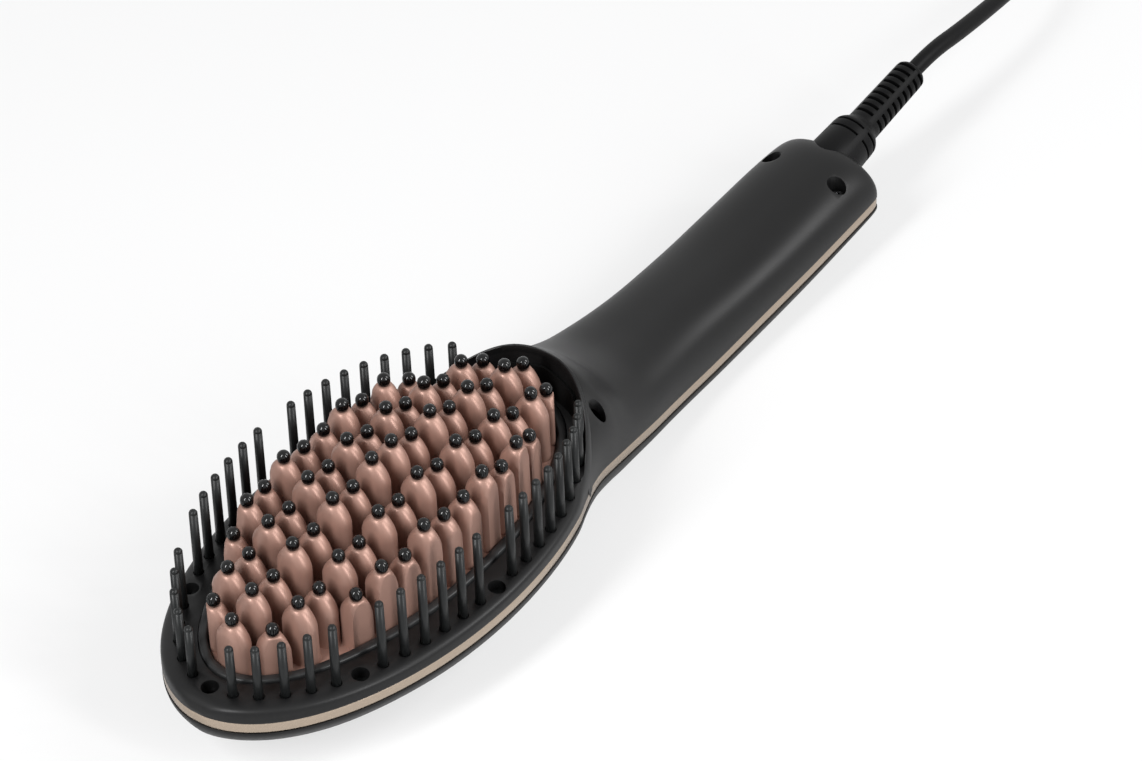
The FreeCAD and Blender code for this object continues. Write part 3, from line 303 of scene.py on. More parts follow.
class BrushSizes(bpy.types.PropertyGroup):
    fin_width: length("Fin width", "Width of one heated fin across the head", 0.0102)
    fin_thickness: length("Fin thickness", "Thickness of one heated fin along the head", 0.0068)
    fin_shoulder: length("Fin shoulder", "Height over which a fin narrows to its ball", 0.0050)
    ball_radius: length("Ball radius", "Radius of the ball on each fin", 0.0018)
    bristle_radius: length("Bristle radius", "Radius of a guard bristle", 0.00125)
    lip_round: length("Edge rounding", "Rounding on the moulded edges", 0.00028)


class BrushColours(bpy.types.PropertyGroup):
    shell: colour("Shell", "Soft-touch shells", (0.0044, 0.0044, 0.0046))
    trim: colour("Trim", "Metal-look strip", (0.395, 0.322, 0.255))
    plate: colour("Plate", "Coated hot plate and fins", (0.335, 0.195, 0.154))
    ball: colour("Ball", "Ball tips", (0.0015, 0.0015, 0.0018))
    comb: colour("Comb", "Guard bristles", (0.008, 0.0088, 0.009))
    bezel: colour("Bezel", "Frame round the plate", (0.019, 0.0195, 0.020))
    rubber: colour("Rubber", "Strain relief and lead", (0.0035, 0.0035, 0.0037))


# ---- small helpers ----

def at(x, y, z):
    return Vector((x * MM, (y + SHIFT_Y) * MM, (z + BACK_DEPTH) * MM))


def sizes():
    return bpy.context.scene.brush_sizes


def colours():
    return bpy.context.scene.brush_colours


def add_object(name, data):
    obj = bpy.data.objects.new(name, data)
    bpy.context.scene.collection.objects.link(obj)
    return obj


def mesh_object(name, verts, faces, smooth=35.0):
    """Object from deck points and faces, doubles merged, faces outwards."""
    bm = bmesh.new()
    made = [bm.verts.new(at(*v)) for v in verts]
    for face in faces:
        bm.faces.new([made[i] for i in face])
    bmesh.ops.remove_doubles(bm, verts=bm.verts, dist=2e-6)
    bmesh.ops.dissolve_degenerate(bm, dist=1e-6, edges=bm.edges)
    bmesh.ops.recalc_face_normals(bm, faces=bm.faces)
    mesh = bpy.data.meshes.new(name)
    bm.to_mesh(mesh)
    bm.free()
    obj = add_object(name, mesh)
    shade(obj, smooth)
    return obj


def shade(obj, angle):
    """Smooth shading with edges sharper than the angle kept crisp."""
    mesh = obj.data
    mesh.shade_smooth()
    if angle:
        mesh.set_sharp_from_angle(angle=math.radians(angle))


def settle(obj):
    """Applies the object's modifiers to a plain mesh."""
    depsgraph = bpy.context.evaluated_depsgraph_get()
    mesh = bpy.data.meshes.new_from_object(obj.evaluated_get(depsgraph))
    obj.modifiers.clear()
    obj.data = mesh
    return obj


def cut(obj, tools):
    """Cuts the closed tools from the object, one after the other, and removes them."""
    for tool in tools:
        step = obj.modifiers.new("cut", "BOOLEAN")
        step.operation = "DIFFERENCE"
        step.solver = "EXACT"
        step.object = tool
        settle(obj)
        bpy.data.objects.remove(tool)
    return obj


def soften(obj, width, angle=40.0, segments=2):
    """Rounds the crisp edges a little, as a moulding has them."""
    step = obj.modifiers.new("soften", "BEVEL")
    step.width = width
    step.segments = segments
    step.limit_method = "ANGLE"
    step.angle_limit = math.radians(angle)
    step.harden_normals = False
    settle(obj)
    shade(obj, angle)
    return obj


def finish_piece(obj, body, slot, finish, *nodes):
    """Gives a piece its material and body, and hides the nodes that it stands for. The slot argument is not
    used.
    """
    obj.data.materials.clear()
    obj.data.materials.append(MATERIALS[finish])
    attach(obj, body)
    if nodes:
        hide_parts(*nodes)
    return obj


def quads(rings, count, first=0, loop=False):
    """Faces between rings of points; loop joins the last ring to the first."""
    faces = []
    for m in range(rings if loop else rings - 1):
        a = first + m * count
        b = first + (m + 1) % rings * count
        for i in range(count):
            j = (i + 1) % count
            faces.append((a + i, a + j, b + j, b + i))
    return faces


def circle(count):
    """Cosine and sine of even steps round a circle."""
    turns = [2 * math.pi * i / count for i in range(count)]
    return [(math.cos(t), math.sin(t)) for t in turns]


def bar(x0, x1, y0, y1):
    return [(x0, y0), (x1, y0), (x1, y1), (x0, y1)]


def oval_tool(a, b, yc, z0, z1, count=160):
    """Closed upright oval."""
    return prism_tool([(a * c, yc + b * s) for c, s in circle(count)], z0, z1)


def prism_tool(ring, z0, z1):
    """Closed upright solid on a ring of x, y."""
    n = len(ring)
    verts = [(x, y, z) for z in (z0, z1) for x, y in ring]
    caps = [tuple(range(n - 1, -1, -1)), tuple(range(n, 2 * n))]
    return mesh_object("tool", verts, caps + quads(2, n), 0)


def rods_tool(places, count=28):
    """One mesh of separate upright rods, each x, y, radius, low and high end."""
    verts = []
    faces = []
    for x, y, r, z0, z1 in places:
        k = len(verts)
        verts += [(x + r * c, y + r * s, z) for z in (z0, z1) for c, s in circle(count)]
        faces.append(tuple(range(k + count - 1, k - 1, -1)))
        faces.append(tuple(range(k + count, k + 2 * count)))
        faces += quads(2, count, k)
    return mesh_object("tool", verts, faces, 0)


def lathe(name, profile, count=64, smooth=35.0):
    """Turned piece on the swivel axis from (distance, radius) pairs, closed at both ends."""
    verts = []
    for c, s in circle(count):
        out = ACROSS * c + AXIS_UP * s
        verts += [AXIS_FOOT + AXIS * along + out * r for along, r in profile]
    return mesh_object(name, verts, quads(count, len(profile), loop=True), smooth)


# ---- the body's form ----

def oval_width(a, b, yc, y):
    u = (y - yc) / b
    return a * math.sqrt(max(0.0, 1.0 - u * u))


def stations(inset):
    """Sections along the body, moved inwards by the inset: y, half width, parting, crest, keel, exponents."""
    rows = []
    for u, zp, zt, zb, pt, pb in HEAD_ROWS:
        y = HEAD_Y + u * (HEAD_B - inset)
        keel = min(zb + inset, zp - TRIM_H - 0.9)
        crest = max(zt - inset, zp + 0.9)
        rows.append((y, oval_width(HEAD_A - inset, HEAD_B - inset, HEAD_Y, y), zp, crest, keel, pt, pb))
    for y, w, zp, rise, zb, pt, pb in NECK_ROWS:
        rows.append((y, w - inset, zp, HOOD * rise - inset, zb + inset, pt, pb))
    for y, dw, zp, zt, zb, pt, pb in HANDLE_ROWS:
        if END_Y - y < 3.5:
            y = y - inset
        rows.append((y, HANDLE_W + dw - inset, zp, zt - inset, zb + inset, pt, pb))
    return rows


def smooth_rows(inset, parts):
    """Stations with extra ones between them, on curves through the stations."""
    rows = stations(inset)
    last = len(rows) - 1
    out = []
    for i in range(last):
        four = [rows[max(i - 1, 0)], rows[i], rows[i + 1], rows[min(i + 2, last)]]
        for k in range(parts):
            t = k / parts
            row = []
            for a, b, c, d in zip(*four):
                bend = (2 * a - 5 * b + 4 * c - d) * t * t + (3 * b - a - 3 * c + d) * t ** 3
                row.append(b + 0.5 * ((c - a) * t + bend))
            if row[0] < HEAD_Y + 0.52 * HEAD_B:
                row[1] = oval_width(HEAD_A - inset, HEAD_B - inset, HEAD_Y, row[0])
            out.append(row)
    out.append(list(rows[last]))
    return out


def arch(row, count, upper):
    """Half section from the +X side to the -X side, over the crest or under the keel."""
    y, w, zp, zt, zb, pt, pb = row
    power = pt if upper else pb
    edge = zp + 0.5 if upper else zp - TRIM_H - 0.5
    reach = (zt if upper else zb) - edge
    first = zp if upper else zp - TRIM_H
    pts = [(w, y, first)]
    for i in range(count + 1):
        t = math.pi * i / count
        c = math.copysign(abs(math.cos(t)) ** (2.0 / power), math.cos(t))
        if i * 2 == count:
            c = 0.0
        pts.append((w * c, y, edge + reach * abs(math.sin(t)) ** (2.0 / power)))
    pts.append((-w, y, first))
    return pts


def half_body(name, inset, parts, count, upper, spread=0.0):
    """Closed solid of the form above or below the trim; spread carries it past the parting."""
    rings = []
    for row in smooth_rows(inset, parts):
        ring = arch(row, count, upper)
        if spread:
            x, y, z = ring[0]
            z = z - spread if upper else z + spread
            ring = [(x, y, z)] + ring + [(-x, y, z)]
        rings.append(ring)
    n = len(rings[0])
    verts = [p for ring in rings for p in ring]
    caps = [tuple(range(n)), tuple(range(len(verts) - n, len(verts)))]
    return mesh_object(name, verts, caps + quads(len(rings), n))


def slice_flat(obj, z):
    """Cuts a closed solid level, keeps what is above and closes it again."""
    bm = bmesh.new()
    bm.from_mesh(obj.data)
    everything = bm.verts[:] + bm.edges[:] + bm.faces[:]
    cutting = bmesh.ops.bisect_plane(
        bm, geom=everything, plane_co=at(0, 0, z), plane_no=(0, 0, 1), clear_inner=True)
    rim = [e for e in cutting["geom_cut"] if isinstance(e, bmesh.types.BMEdge)]
    bmesh.ops.edgeloop_fill(bm, edges=rim)
    bmesh.ops.recalc_face_normals(bm, faces=bm.faces)
    bm.to_mesh(obj.data)
    bm.free()
    return obj


# ---- places ----

def bristle_line(a, b, t):
    """Point of an oval that is a little fuller towards the hood, t = 0 at the tip."""
    u = -math.cos(t)
    power = BRISTLE_FULLNESS if u > 0.0 else 2.0
    return a * math.sqrt(1.0 - abs(u) ** power), HEAD_Y + b * u


def bristle_slots():
    """Places at even pitch along the bristles' oval, from the tip back."""
    out = []
    travelled = 0.0
    want = 0.0
    last = (0.0, HEAD_Y - BRISTLE[1])
    for i in range(4001):
        p = bristle_line(*BRISTLE, math.pi * i / 4000)
        travelled += math.dist(p, last)
        last = p
        if travelled >= want and len(out) < BRISTLE_COUNT:
            out.append(p)
            want += BRISTLE_PITCH if len(out) <= BRISTLE_CLOSE_SLOT else BRISTLE_CLOSE_PITCH
    return out


SLOTS = bristle_slots()
BRISTLES = [(s * x, y) for i, (x, y) in enumerate(SLOTS) if i not in SCREW_SLOTS for s in (1, -1)]
DECK_SCREWS = [(s * SLOTS[i][0], SLOTS[i][1], DECK_FLOOR) for i in SCREW_SLOTS for s in (1, -1) if i or s > 0]
NECK_SCREWS = [(s * NECK_SCREW[0], NECK_SCREW[1], NECK_SCREW[2]) for s in (1, -1)]
END_SCREWS = [(s * END_SCREW[0], END_SCREW[1], END_SCREW[2]) for s in (1, -1)]


def tooth_places():
    """x, y and ball height of every fin."""
    out = []
    for column in (-2, -1, 0, 1, 2):
        odd = column % 2
        outer = abs(column) == 2
        first = 3 if outer else 0
        for n in range(first, FIN_COUNT - first - odd):
            i = n + 0.5 * odd
            y = FIN_FIRST_Y + FIN_PITCH * i - FIN_CLOSING * i * i
            limit = oval_width(PLATE[0] - FIN_INSET, PLATE[1] - FIN_INSET, PLATE_Y, y)
            x = min(abs(column) * FIN_COLUMN, limit)
            x = math.copysign(x, column) if column else 0.0
            tall = int(abs(i - (FIN_COUNT - 1) / 2)) % 2 == (1 if outer else 0)
            if odd:
                tall = n % 2 == 1
            u = (y - BALL_CREST[0]) / BALL_SPREAD
            z = BALL_CREST[1] - BALL_CURVE[0] * u * u + BALL_CURVE[1] * u ** 4 - BALL_FALL * abs(x)
            out.append((x, y, z if tall else z - BALL_STEP))
    return out


TEETH = tooth_places()


# ---- shader node groups ----

def group_nodes(name, inputs, outputs):
    """New shader group with float inputs (name, default) and float outputs."""
    tree = bpy.data.node_groups.new(name, "ShaderNodeTree")
    for label, default in inputs:
        socket = tree.interface.new_socket(label, in_out="INPUT", socket_type="NodeSocketFloat")
        socket.default_value = default
    for label in outputs:
        tree.interface.new_socket(label, in_out="OUTPUT", socket_type="NodeSocketFloat")
    return tree, tree.nodes.new("NodeGroupInput"), tree.nodes.new("NodeGroupOutput")


def math_node(tree, operation, a, b):
    node = tree.nodes.new("ShaderNodeMath")
    node.operation = operation
    for socket, value in zip(node.inputs, (a, b)):
        if isinstance(value, (int, float)):
            socket.default_value = value
        else:
            tree.links.new(value, socket)
    return node.outputs[0]


def noise_node(tree, vector, scale, detail):
    node = tree.nodes.new("ShaderNodeTexNoise")
    node.inputs["Detail"].default_value = detail
    node.inputs["Roughness"].default_value = 0.55
    tree.links.new(vector, node.inputs["Vector"])
    tree.links.new(scale, node.inputs["Scale"])
    return node.outputs["Fac"]


def moulded_grain():
    """Fine grain and slow blotches of a moulded or coated surface."""
    inputs = (("Grain Scale", 2600.0), ("Blotch Scale", 45.0), ("Blotch Share", 0.3))
    tree, source, sink = group_nodes("Moulded Grain", inputs, ("Height", "Blotch"))
    place = tree.nodes.new("ShaderNodeTexCoord").outputs["Object"]
    grain = noise_node(tree, place, source.outputs["Grain Scale"], 2.0)
    blotch = noise_node(tree, place, source.outputs["Blotch Scale"], 3.0)
    part = math_node(tree, "MULTIPLY", blotch, source.outputs["Blotch Share"])
    tree.links.new(math_node(tree, "ADD", grain, part), sink.inputs["Height"])
    tree.links.new(blotch, sink.inputs["Blotch"])
    return tree


def drawn_lines():
    """Streaks of a brushed or drawn metal, along the brush."""
    inputs = (("Line Scale", 900.0), ("Stretch", 0.03))
    tree, source, sink = group_nodes("Drawn Lines", inputs, ("Height", "Streak"))
    place = tree.nodes.new("ShaderNodeTexCoord").outputs["Object"]
    split = tree.nodes.new("ShaderNodeSeparateXYZ")
    tree.links.new(place, split.inputs[0])
    join = tree.nodes.new("ShaderNodeCombineXYZ")
    along = math_node(tree, "MULTIPLY", split.outputs["Y"], source.outputs["Stretch"])
    tree.links.new(split.outputs["X"], join.inputs["X"])
    tree.links.new(along, join.inputs["Y"])
    tree.links.new(split.outputs["Z"], join.inputs["Z"])
    streak = noise_node(tree, join.outputs[0], source.outputs["Line Scale"], 3.0)
    tree.links.new(streak, sink.inputs["Height"])
    tree.links.new(streak, sink.inputs["Streak"])
    return tree


def shader_group(name):
    makers = {"Moulded Grain": moulded_grain, "Drawn Lines": drawn_lines}
    return bpy.data.node_groups.get(name) or makers[name]()


# ---- materials ----

class Finish:
    """A material whose colour, roughness and relief follow one shared effect."""

    def __init__(self, name, effect="Moulded Grain", **values):
        self.material = bpy.data.materials.new(name)
        self.material.use_nodes = True
        self.tree = self.material.node_tree
        self.shader = self.tree.nodes["Principled BSDF"]
        self.effect = self.tree.nodes.new("ShaderNodeGroup")
        self.effect.node_tree = shader_group(effect)
        for label, value in values.items():
            self.effect.inputs[label.replace("_", " ")].default_value = value

    def set(self, **sockets):
        for label, value in sockets.items():
            self.shader.inputs[label.replace("_", " ")].default_value = value
        return self

    def tone(self, dark, light, output="Blotch"):
        ramp = self.tree.nodes.new("ShaderNodeValToRGB")
        for stop, position, rgb in zip(ramp.color_ramp.elements, (0.35, 0.65), (dark, light)):
            stop.position = position
            stop.color = (*rgb, 1.0)
        self.tree.links.new(self.effect.outputs[output], ramp.inputs["Fac"])
        self.tree.links.new(ramp.outputs["Color"], self.shader.inputs["Base Color"])
        return self

    def sheen_range(self, low, high, output="Blotch"):
        spread = self.tree.nodes.new("ShaderNodeMapRange")
        for label, value in (("From Min", 0.3), ("From Max", 0.7), ("To Min", low), ("To Max", high)):
            spread.inputs[label].default_value = value
        self.tree.links.new(self.effect.outputs[output], spread.inputs["Value"])
        self.tree.links.new(spread.outputs["Result"], self.shader.inputs["Roughness"])
        return self

    def relief(self, strength, distance):
        bump = self.tree.nodes.new("ShaderNodeBump")
        bump.inputs["Strength"].default_value = strength
        bump.inputs["Distance"].default_value = distance
        self.tree.links.new(self.effect.outputs["Height"], bump.inputs["Height"])
        self.tree.links.new(bump.outputs["Normal"], self.shader.inputs["Normal"])
        return self


def tinted(rgb, factor):
    return tuple(min(1.0, c * factor) for c in rgb)


MATERIALS = {}


def plain_finish(name, rgb, rough, metal):
    made = Finish(name)
    made.tone(tinted(rgb, 0.88), tinted(rgb, 1.12)).sheen_range(rough - 0.05, rough + 0.05)
    return made.relief(0.2, 0.00004).set(Metallic=metal)


def make_materials():
    c = colours()
    # name, colour and its spread, roughness, relief and its depth, gloss, metal, effect's values
    grained = (
        ("soft_touch", c.shell, 0.90, 1.12, (0.37, 0.43), (0.16, 0.00005), 0.24, 0.0,
         {"Grain_Scale": 3200.0, "Blotch_Scale": 30.0, "Blotch_Share": 0.15}),
        ("rose_ceramic", c.plate, 0.94, 1.06, (0.37, 0.44), (0.05, 0.00003), 0.42, 0.32,
         {"Grain_Scale": 2200.0, "Blotch_Scale": 60.0, "Blotch_Share": 0.25}),
        ("ball_gloss", c.ball, 0.9, 1.2, (0.04, 0.07), None, 0.34, 0.0, {"Grain_Scale": 900.0}),
        ("comb_satin", c.comb, 0.9, 1.15, (0.34, 0.41), (0.06, 0.00003), 0.24, 0.0, {"Grain_Scale": 2400.0}),
        ("bezel_satin", c.bezel, 0.9, 1.15, (0.36, 0.44), (0.12, 0.00004), 0.3, 0.0, {"Grain_Scale": 2600.0}),
        ("moulded_rubber", c.rubber, 0.85, 1.2, (0.40, 0.48), (0.18, 0.00005), 0.10, 0.0,
         {"Grain_Scale": 2800.0, "Blotch_Share": 0.2}),
    )
    for name, rgb, dark, light, sheen, relief, gloss, metal, values in grained:
        made = Finish(name, **values)
        made.tone(tinted(rgb, dark), tinted(rgb, light)).sheen_range(*sheen)
        if relief:
            made.relief(*relief)
        made.set(Specular_IOR_Level=gloss, Metallic=metal)
        MATERIALS[name] = made.material
    trim = Finish("champagne_trim", "Drawn Lines", Line_Scale=1400.0, Stretch=0.02)
    trim.tone(tinted(c.trim, 0.97), tinted(c.trim, 1.03), "Streak")
    trim.sheen_range(0.24, 0.29, "Streak").relief(0.02, 0.00002).set(Metallic=1.0)
    MATERIALS["champagne_trim"] = trim.material
    plain = (
        ("liner_black", (0.006, 0.006, 0.006), 0.6, 0.0),
        ("screw_black", (0.16, 0.16, 0.165), 0.24, 1.0),
        ("heater_bar", (0.62, 0.62, 0.60), 0.4, 1.0),
        ("mica", (0.50, 0.42, 0.28), 0.45, 0.0),
        ("pressed_sheet", (0.50, 0.50, 0.50), 0.35, 1.0),
        ("glazed_sensor", (0.70, 0.68, 0.60), 0.25, 0.0),
        ("fascia_gloss", (0.010, 0.010, 0.011), 0.12, 0.0),
        ("display_dark", (0.015, 0.015, 0.017), 0.4, 0.0),
        ("button_satin", (0.040, 0.040, 0.043), 0.32, 0.0),
        ("mark_pale", (0.62, 0.60, 0.56), 0.45, 0.0),
        ("board_green", (0.02, 0.13, 0.05), 0.35, 0.0),
        ("wire_brown", (0.16, 0.06, 0.025), 0.5, 0.0),
        ("collar_satin", (0.018, 0.018, 0.019), 0.36, 0.0),
        ("plug_black", (0.014, 0.014, 0.015), 0.40, 0.0),
        ("pin_nickel", (0.66, 0.64, 0.58), 0.22, 1.0),
    )
    for name, rgb, rough, metal in plain:
        made = plain_finish(name, rgb, rough, metal)
        if name == "liner_black":
            made.set(Specular_IOR_Level=0.12)
        MATERIALS[name] = made.material
    glass = Finish("smoked_window", Grain_Scale=1200.0)
    glass.tone((0.012, 0.012, 0.014), (0.018, 0.018, 0.020)).sheen_range(0.05, 0.09).relief(0.01, 0.00001)
    glass.set(Coat_Weight=0.5)
    MATERIALS["smoked_window"] = glass.material


NODE_FINISHES = {
    "hood_liner": "liner_black",
    "swivel_collar": "collar_satin",
    "ptc_heater": "heater_bar",
    "mica_sheet": "mica",
    "heater_bracket": "pressed_sheet",
    "heat_shield": "pressed_sheet",
    "temperature_sensor": "glazed_sensor",
    "thermal_cutoff": "glazed_sensor",
    "display_module": "display_dark",
    "tact_switches": "display_dark",
    "control_board": "board_green",
    "mains_wires": "wire_brown",
    "heater_wires": "wire_brown",
}


# ---- geometry node trees ----

def geometry_tree(name, **sockets):
    """New geometry tree with Geometry in and out and the named inputs."""
    tree = bpy.data.node_groups.new(name, "GeometryNodeTree")
    new_socket = tree.interface.new_socket
    new_socket("Geometry", in_out="INPUT", socket_type="NodeSocketGeometry")
    for label, kind in sockets.items():
        new_socket(label, in_out="INPUT", socket_type="NodeSocket" + kind)
    new_socket("Geometry", in_out="OUTPUT", socket_type="NodeSocketGeometry")
    return tree, tree.nodes.new("NodeGroupInput"), tree.nodes.new("NodeGroupOutput")


def instances(tree, points, part):
    node = tree.nodes.new("GeometryNodeInstanceOnPoints")
    tree.links.new(points, node.inputs["Points"])
    tree.links.new(part, node.inputs["Instance"])
    return node


def end_tree(tree, source, sink, made, *steps):
    """Makes the instances real, gives them their Finish and ends the tree."""
    for kind in ("GeometryNodeRealizeInstances", *steps, "GeometryNodeSetMaterial"):
        node = tree.nodes.new(kind)
        tree.links.new(made, node.inputs["Geometry"])
        made = node.outputs["Geometry"]
    tree.links.new(source.outputs["Finish"], node.inputs["Material"])
    tree.links.new(made, sink.inputs["Geometry"])
    return tree


def rod_tree(name):
    """Rods with round tips on points: Radius, and each one's height from its "tall" attribute."""
    tree, source, sink = geometry_tree(name, Radius="Float", Finish="Material")
    nodes = tree.nodes
    link = tree.links.new
    points = source.outputs["Geometry"]
    tall = nodes.new("GeometryNodeInputNamedAttribute")
    tall.data_type = "FLOAT"
    tall.inputs["Name"].default_value = "tall"
    height = tall.outputs["Attribute"]

    rod = nodes.new("GeometryNodeMeshCone")
    rod.inputs["Vertices"].default_value = 20
    rod.inputs["Depth"].default_value = 1.0
    tip_radius = math_node(tree, "MULTIPLY", source.outputs["Radius"], BRISTLE_TAPER[0])
    foot_radius = math_node(tree, "MULTIPLY", source.outputs["Radius"], BRISTLE_TAPER[1])
    link(tip_radius, rod.inputs["Radius Top"])
    link(foot_radius, rod.inputs["Radius Bottom"])
    stretch = nodes.new("ShaderNodeCombineXYZ")
    stretch.inputs["X"].default_value = 1.0
    stretch.inputs["Y"].default_value = 1.0
    link(height, stretch.inputs["Z"])
    rods = instances(tree, points, rod.outputs["Mesh"])
    link(stretch.outputs[0], rods.inputs["Scale"])

    globe = nodes.new("GeometryNodeMeshUVSphere")
    globe.inputs["Segments"].default_value = 20
    globe.inputs["Rings"].default_value = 12
    link(tip_radius, globe.inputs["Radius"])
    raised = nodes.new("GeometryNodeSetPosition")
    lift = nodes.new("ShaderNodeCombineXYZ")
    link(height, lift.inputs["Z"])
    link(points, raised.inputs["Geometry"])
    link(lift.outputs[0], raised.inputs["Offset"])
    tips = instances(tree, raised.outputs["Geometry"], globe.outputs["Mesh"])

    join = nodes.new("GeometryNodeJoinGeometry")
    for made in (rods, tips):
        link(made.outputs["Instances"], join.inputs[0])
    return end_tree(tree, source, sink, join.outputs[0], "GeometryNodeSetShadeSmooth")


def copies_tree(name):
    """Copies of one small part on points."""
    tree, source, sink = geometry_tree(name, Part="Object", Finish="Material")
    part = tree.nodes.new("GeometryNodeObjectInfo")
    tree.links.new(source.outputs["Part"], part.inputs["Object"])
    copies = instances(tree, source.outputs["Geometry"], part.outputs["Geometry"])
    return end_tree(tree, source, sink, copies.outputs["Instances"])


def points_object(name, places, tall=None):
    """Loose points for a tree to stand parts on, each with its height if given."""
    mesh = bpy.data.meshes.new(name)
    mesh.from_pydata([at(*p) for p in places], [], [])
    if tall:
        attribute = mesh.attributes.new("tall", "FLOAT", "POINT")
        attribute.data.foreach_set("value", [t * MM for t in tall])
    return add_object(name, mesh)


def grow(obj, tree, **inputs):
    """Runs the tree on the object with its inputs set by name, and keeps the mesh."""
    step = obj.modifiers.new(tree.name, "NODES")
    step.node_group = tree
    for item in tree.interface.items_tree:
        if item.item_type == "SOCKET" and item.in_out == "INPUT" and item.name in inputs:
            step[item.identifier] = inputs[item.name]
    return settle(obj)


# ---- pieces ----

def bores():
    """Screw bores from their floors up, as x, y, radius, low, high."""
    out = [(x, y, DECK_BORE, z, 20.0) for x, y, z in DECK_SCREWS]
    out += [(x, y, NECK_BORE, z, 40.0) for x, y, z in NECK_SCREWS]
    out += [(x, y, HANDLE_BORE, z, 40.0) for x, y, z in END_SCREWS]
    return out


def skin_height(rows, x, y):
    """Height of the upper skin over a place."""
    for before, after in zip(rows, rows[1:]):
        if before[0] <= y <= after[0]:
            t = (y - before[0]) / (after[0] - before[0])
            _, w, zp, zt, _, power, _ = [a + (b - a) * t for a, b in zip(before, after)]
            edge = zp + 0.5
            return edge + (zt - edge) * max(0.0, 1.0 - (abs(x) / w) ** power) ** (1.0 / power)
    return 0.0


def hood_lip():
    """Thin lip standing proud round the hood's opening and fading out at its flanks."""
    rows = smooth_rows(0.0, 5)
    n = len(LIP_PROFILE)
    steps = 96
    verts = []
    for i in range(steps + 1):
        angle = LIP_START + (180.0 - 2.0 * LIP_START) * i / steps
        t = math.radians(angle)
        fade = min(1.0, min(angle - LIP_START, 180.0 - LIP_START - angle) / LIP_FADE)
        fade = fade * fade * (3.0 - 2.0 * fade)
        across = Vector((math.cos(t) / POCKET[0], math.sin(t) / POCKET[1])).normalized()
        for out, up in LIP_PROFILE:
            x = POCKET[0] * math.cos(t) + across.x * out
            y = HEAD_Y + POCKET[1] * math.sin(t) + across.y * out
            rise = up * fade if up > 0.0 else up
            verts.append((x, y, skin_height(rows, x, y) + rise - LIP_SINK * (1.0 - fade)))
    caps = [tuple(range(n - 1, -1, -1)), tuple(range(steps * n, steps * n + n))]
    return mesh_object("lip", verts, caps + quads(steps + 1, n))


def boot_seat():
    """Round opening at the handle's end in which the boot's base turns."""
    profile = [(-SEAT_DEPTH, AXLE), (-SEAT_DEPTH, SEAT_RADIUS), (SEAT_REACH, SEAT_RADIUS), (SEAT_REACH, AXLE)]
    return lathe("tool", profile, 64, 0)


def boss_rods():
    """Bosses round the bores, inside the shell."""
    out = [(x, y, DECK_BORE + BOSS_WALL, z - BOSS_FLOOR, -0.1) for x, y, z in DECK_SCREWS]
    out += [(x, y, HANDLE_BORE + BOSS_WALL, z - BOSS_FLOOR, -1.0) for x, y, z in NECK_SCREWS + END_SCREWS]
    return out


def build_front_shell():
    """Deck, hood, neck and handle in one moulding, with the openings and bores in it."""
    shell = half_body("front_shell_skin", 0.0, 5, 64, True)
    room = half_body("tool", WALL, 2, 24, True, spread=2.0)
    keep = oval_tool(POCKET[0] + POCKET_WALL, POCKET[1] + POCKET_WALL, HEAD_Y, -WALL, 60.0)
    cut(room, [keep, rods_tool(boss_rods())])
    cut(shell, [oval_tool(*POCKET, HEAD_Y, 0.0, 60.0), room])
    opening = [half + BEZEL_PLAY for half in BEZEL_OUT]
    cut(shell, [oval_tool(*opening, PLATE_Y, -12.0, 6.0), boot_seat()])
    holes = [(x, y, BRISTLE_HOLE, -6.0, 3.0) for x, y in BRISTLES]
    cut(shell, [rods_tool(holes, 20), rods_tool(bores())])
    soften(shell, sizes().lip_round, 38.0)
    join_into(shell, [hood_lip()])
    return finish_piece(shell, "root", "shell_front", "soft_touch", "front_shell")


def stadium_ring(half, y0, y1, steps=16):
    """Outline with round ends."""
    ring = []
    for yc, start in ((y1 - half, 0.0), (y0 + half, math.pi)):
        for i in range(steps + 1):
            t = start + math.pi * i / steps
            ring.append((half * math.cos(t), yc + half * math.sin(t)))
    return ring


def rounded_ring(hx, hy, yc, r, steps=6):
    """Outline with round corners."""
    ring = []
    for sx, sy, start in ((1, 1, 0.0), (-1, 1, 0.5), (-1, -1, 1.0), (1, -1, 1.5)):
        for i in range(steps + 1):
            t = math.pi * (start + 0.5 * i / steps)
            ring.append((sx * (hx - r) + r * math.cos(t), yc + sy * (hy - r) + r * math.sin(t)))
    return ring


def build_back_shell():
    """Keel side, flat on the surface, with the recess and the openings for the controls."""
    shell = half_body("back_shell_skin", 0.0, 5, 64, False)
    slice_flat(shell, LAND_Z)
    room = half_body("tool", WALL, 2, 24, False, spread=2.0)
    slice_flat(room, LAND_Z + LAND_WALL)
    tools = [room, prism_tool(stadium_ring(*RECESS), LAND_Z - 5.0, LAND_Z + 1.5)]
    tools.append(prism_tool(rounded_ring(*WINDOW_HOLE), LAND_Z - 5.0, LAND_Z + 4.0))
    tools.append(rods_tool([(0.0, y, BUTTON_HOLE, LAND_Z - 5.0, LAND_Z + 4.0) for _, y in BUTTONS]))
    cut(shell, tools + [boot_seat()])
    soften(shell, sizes().lip_round, 38.0)
    return finish_piece(shell, "root", "shell_back", "soft_touch", "back_shell")


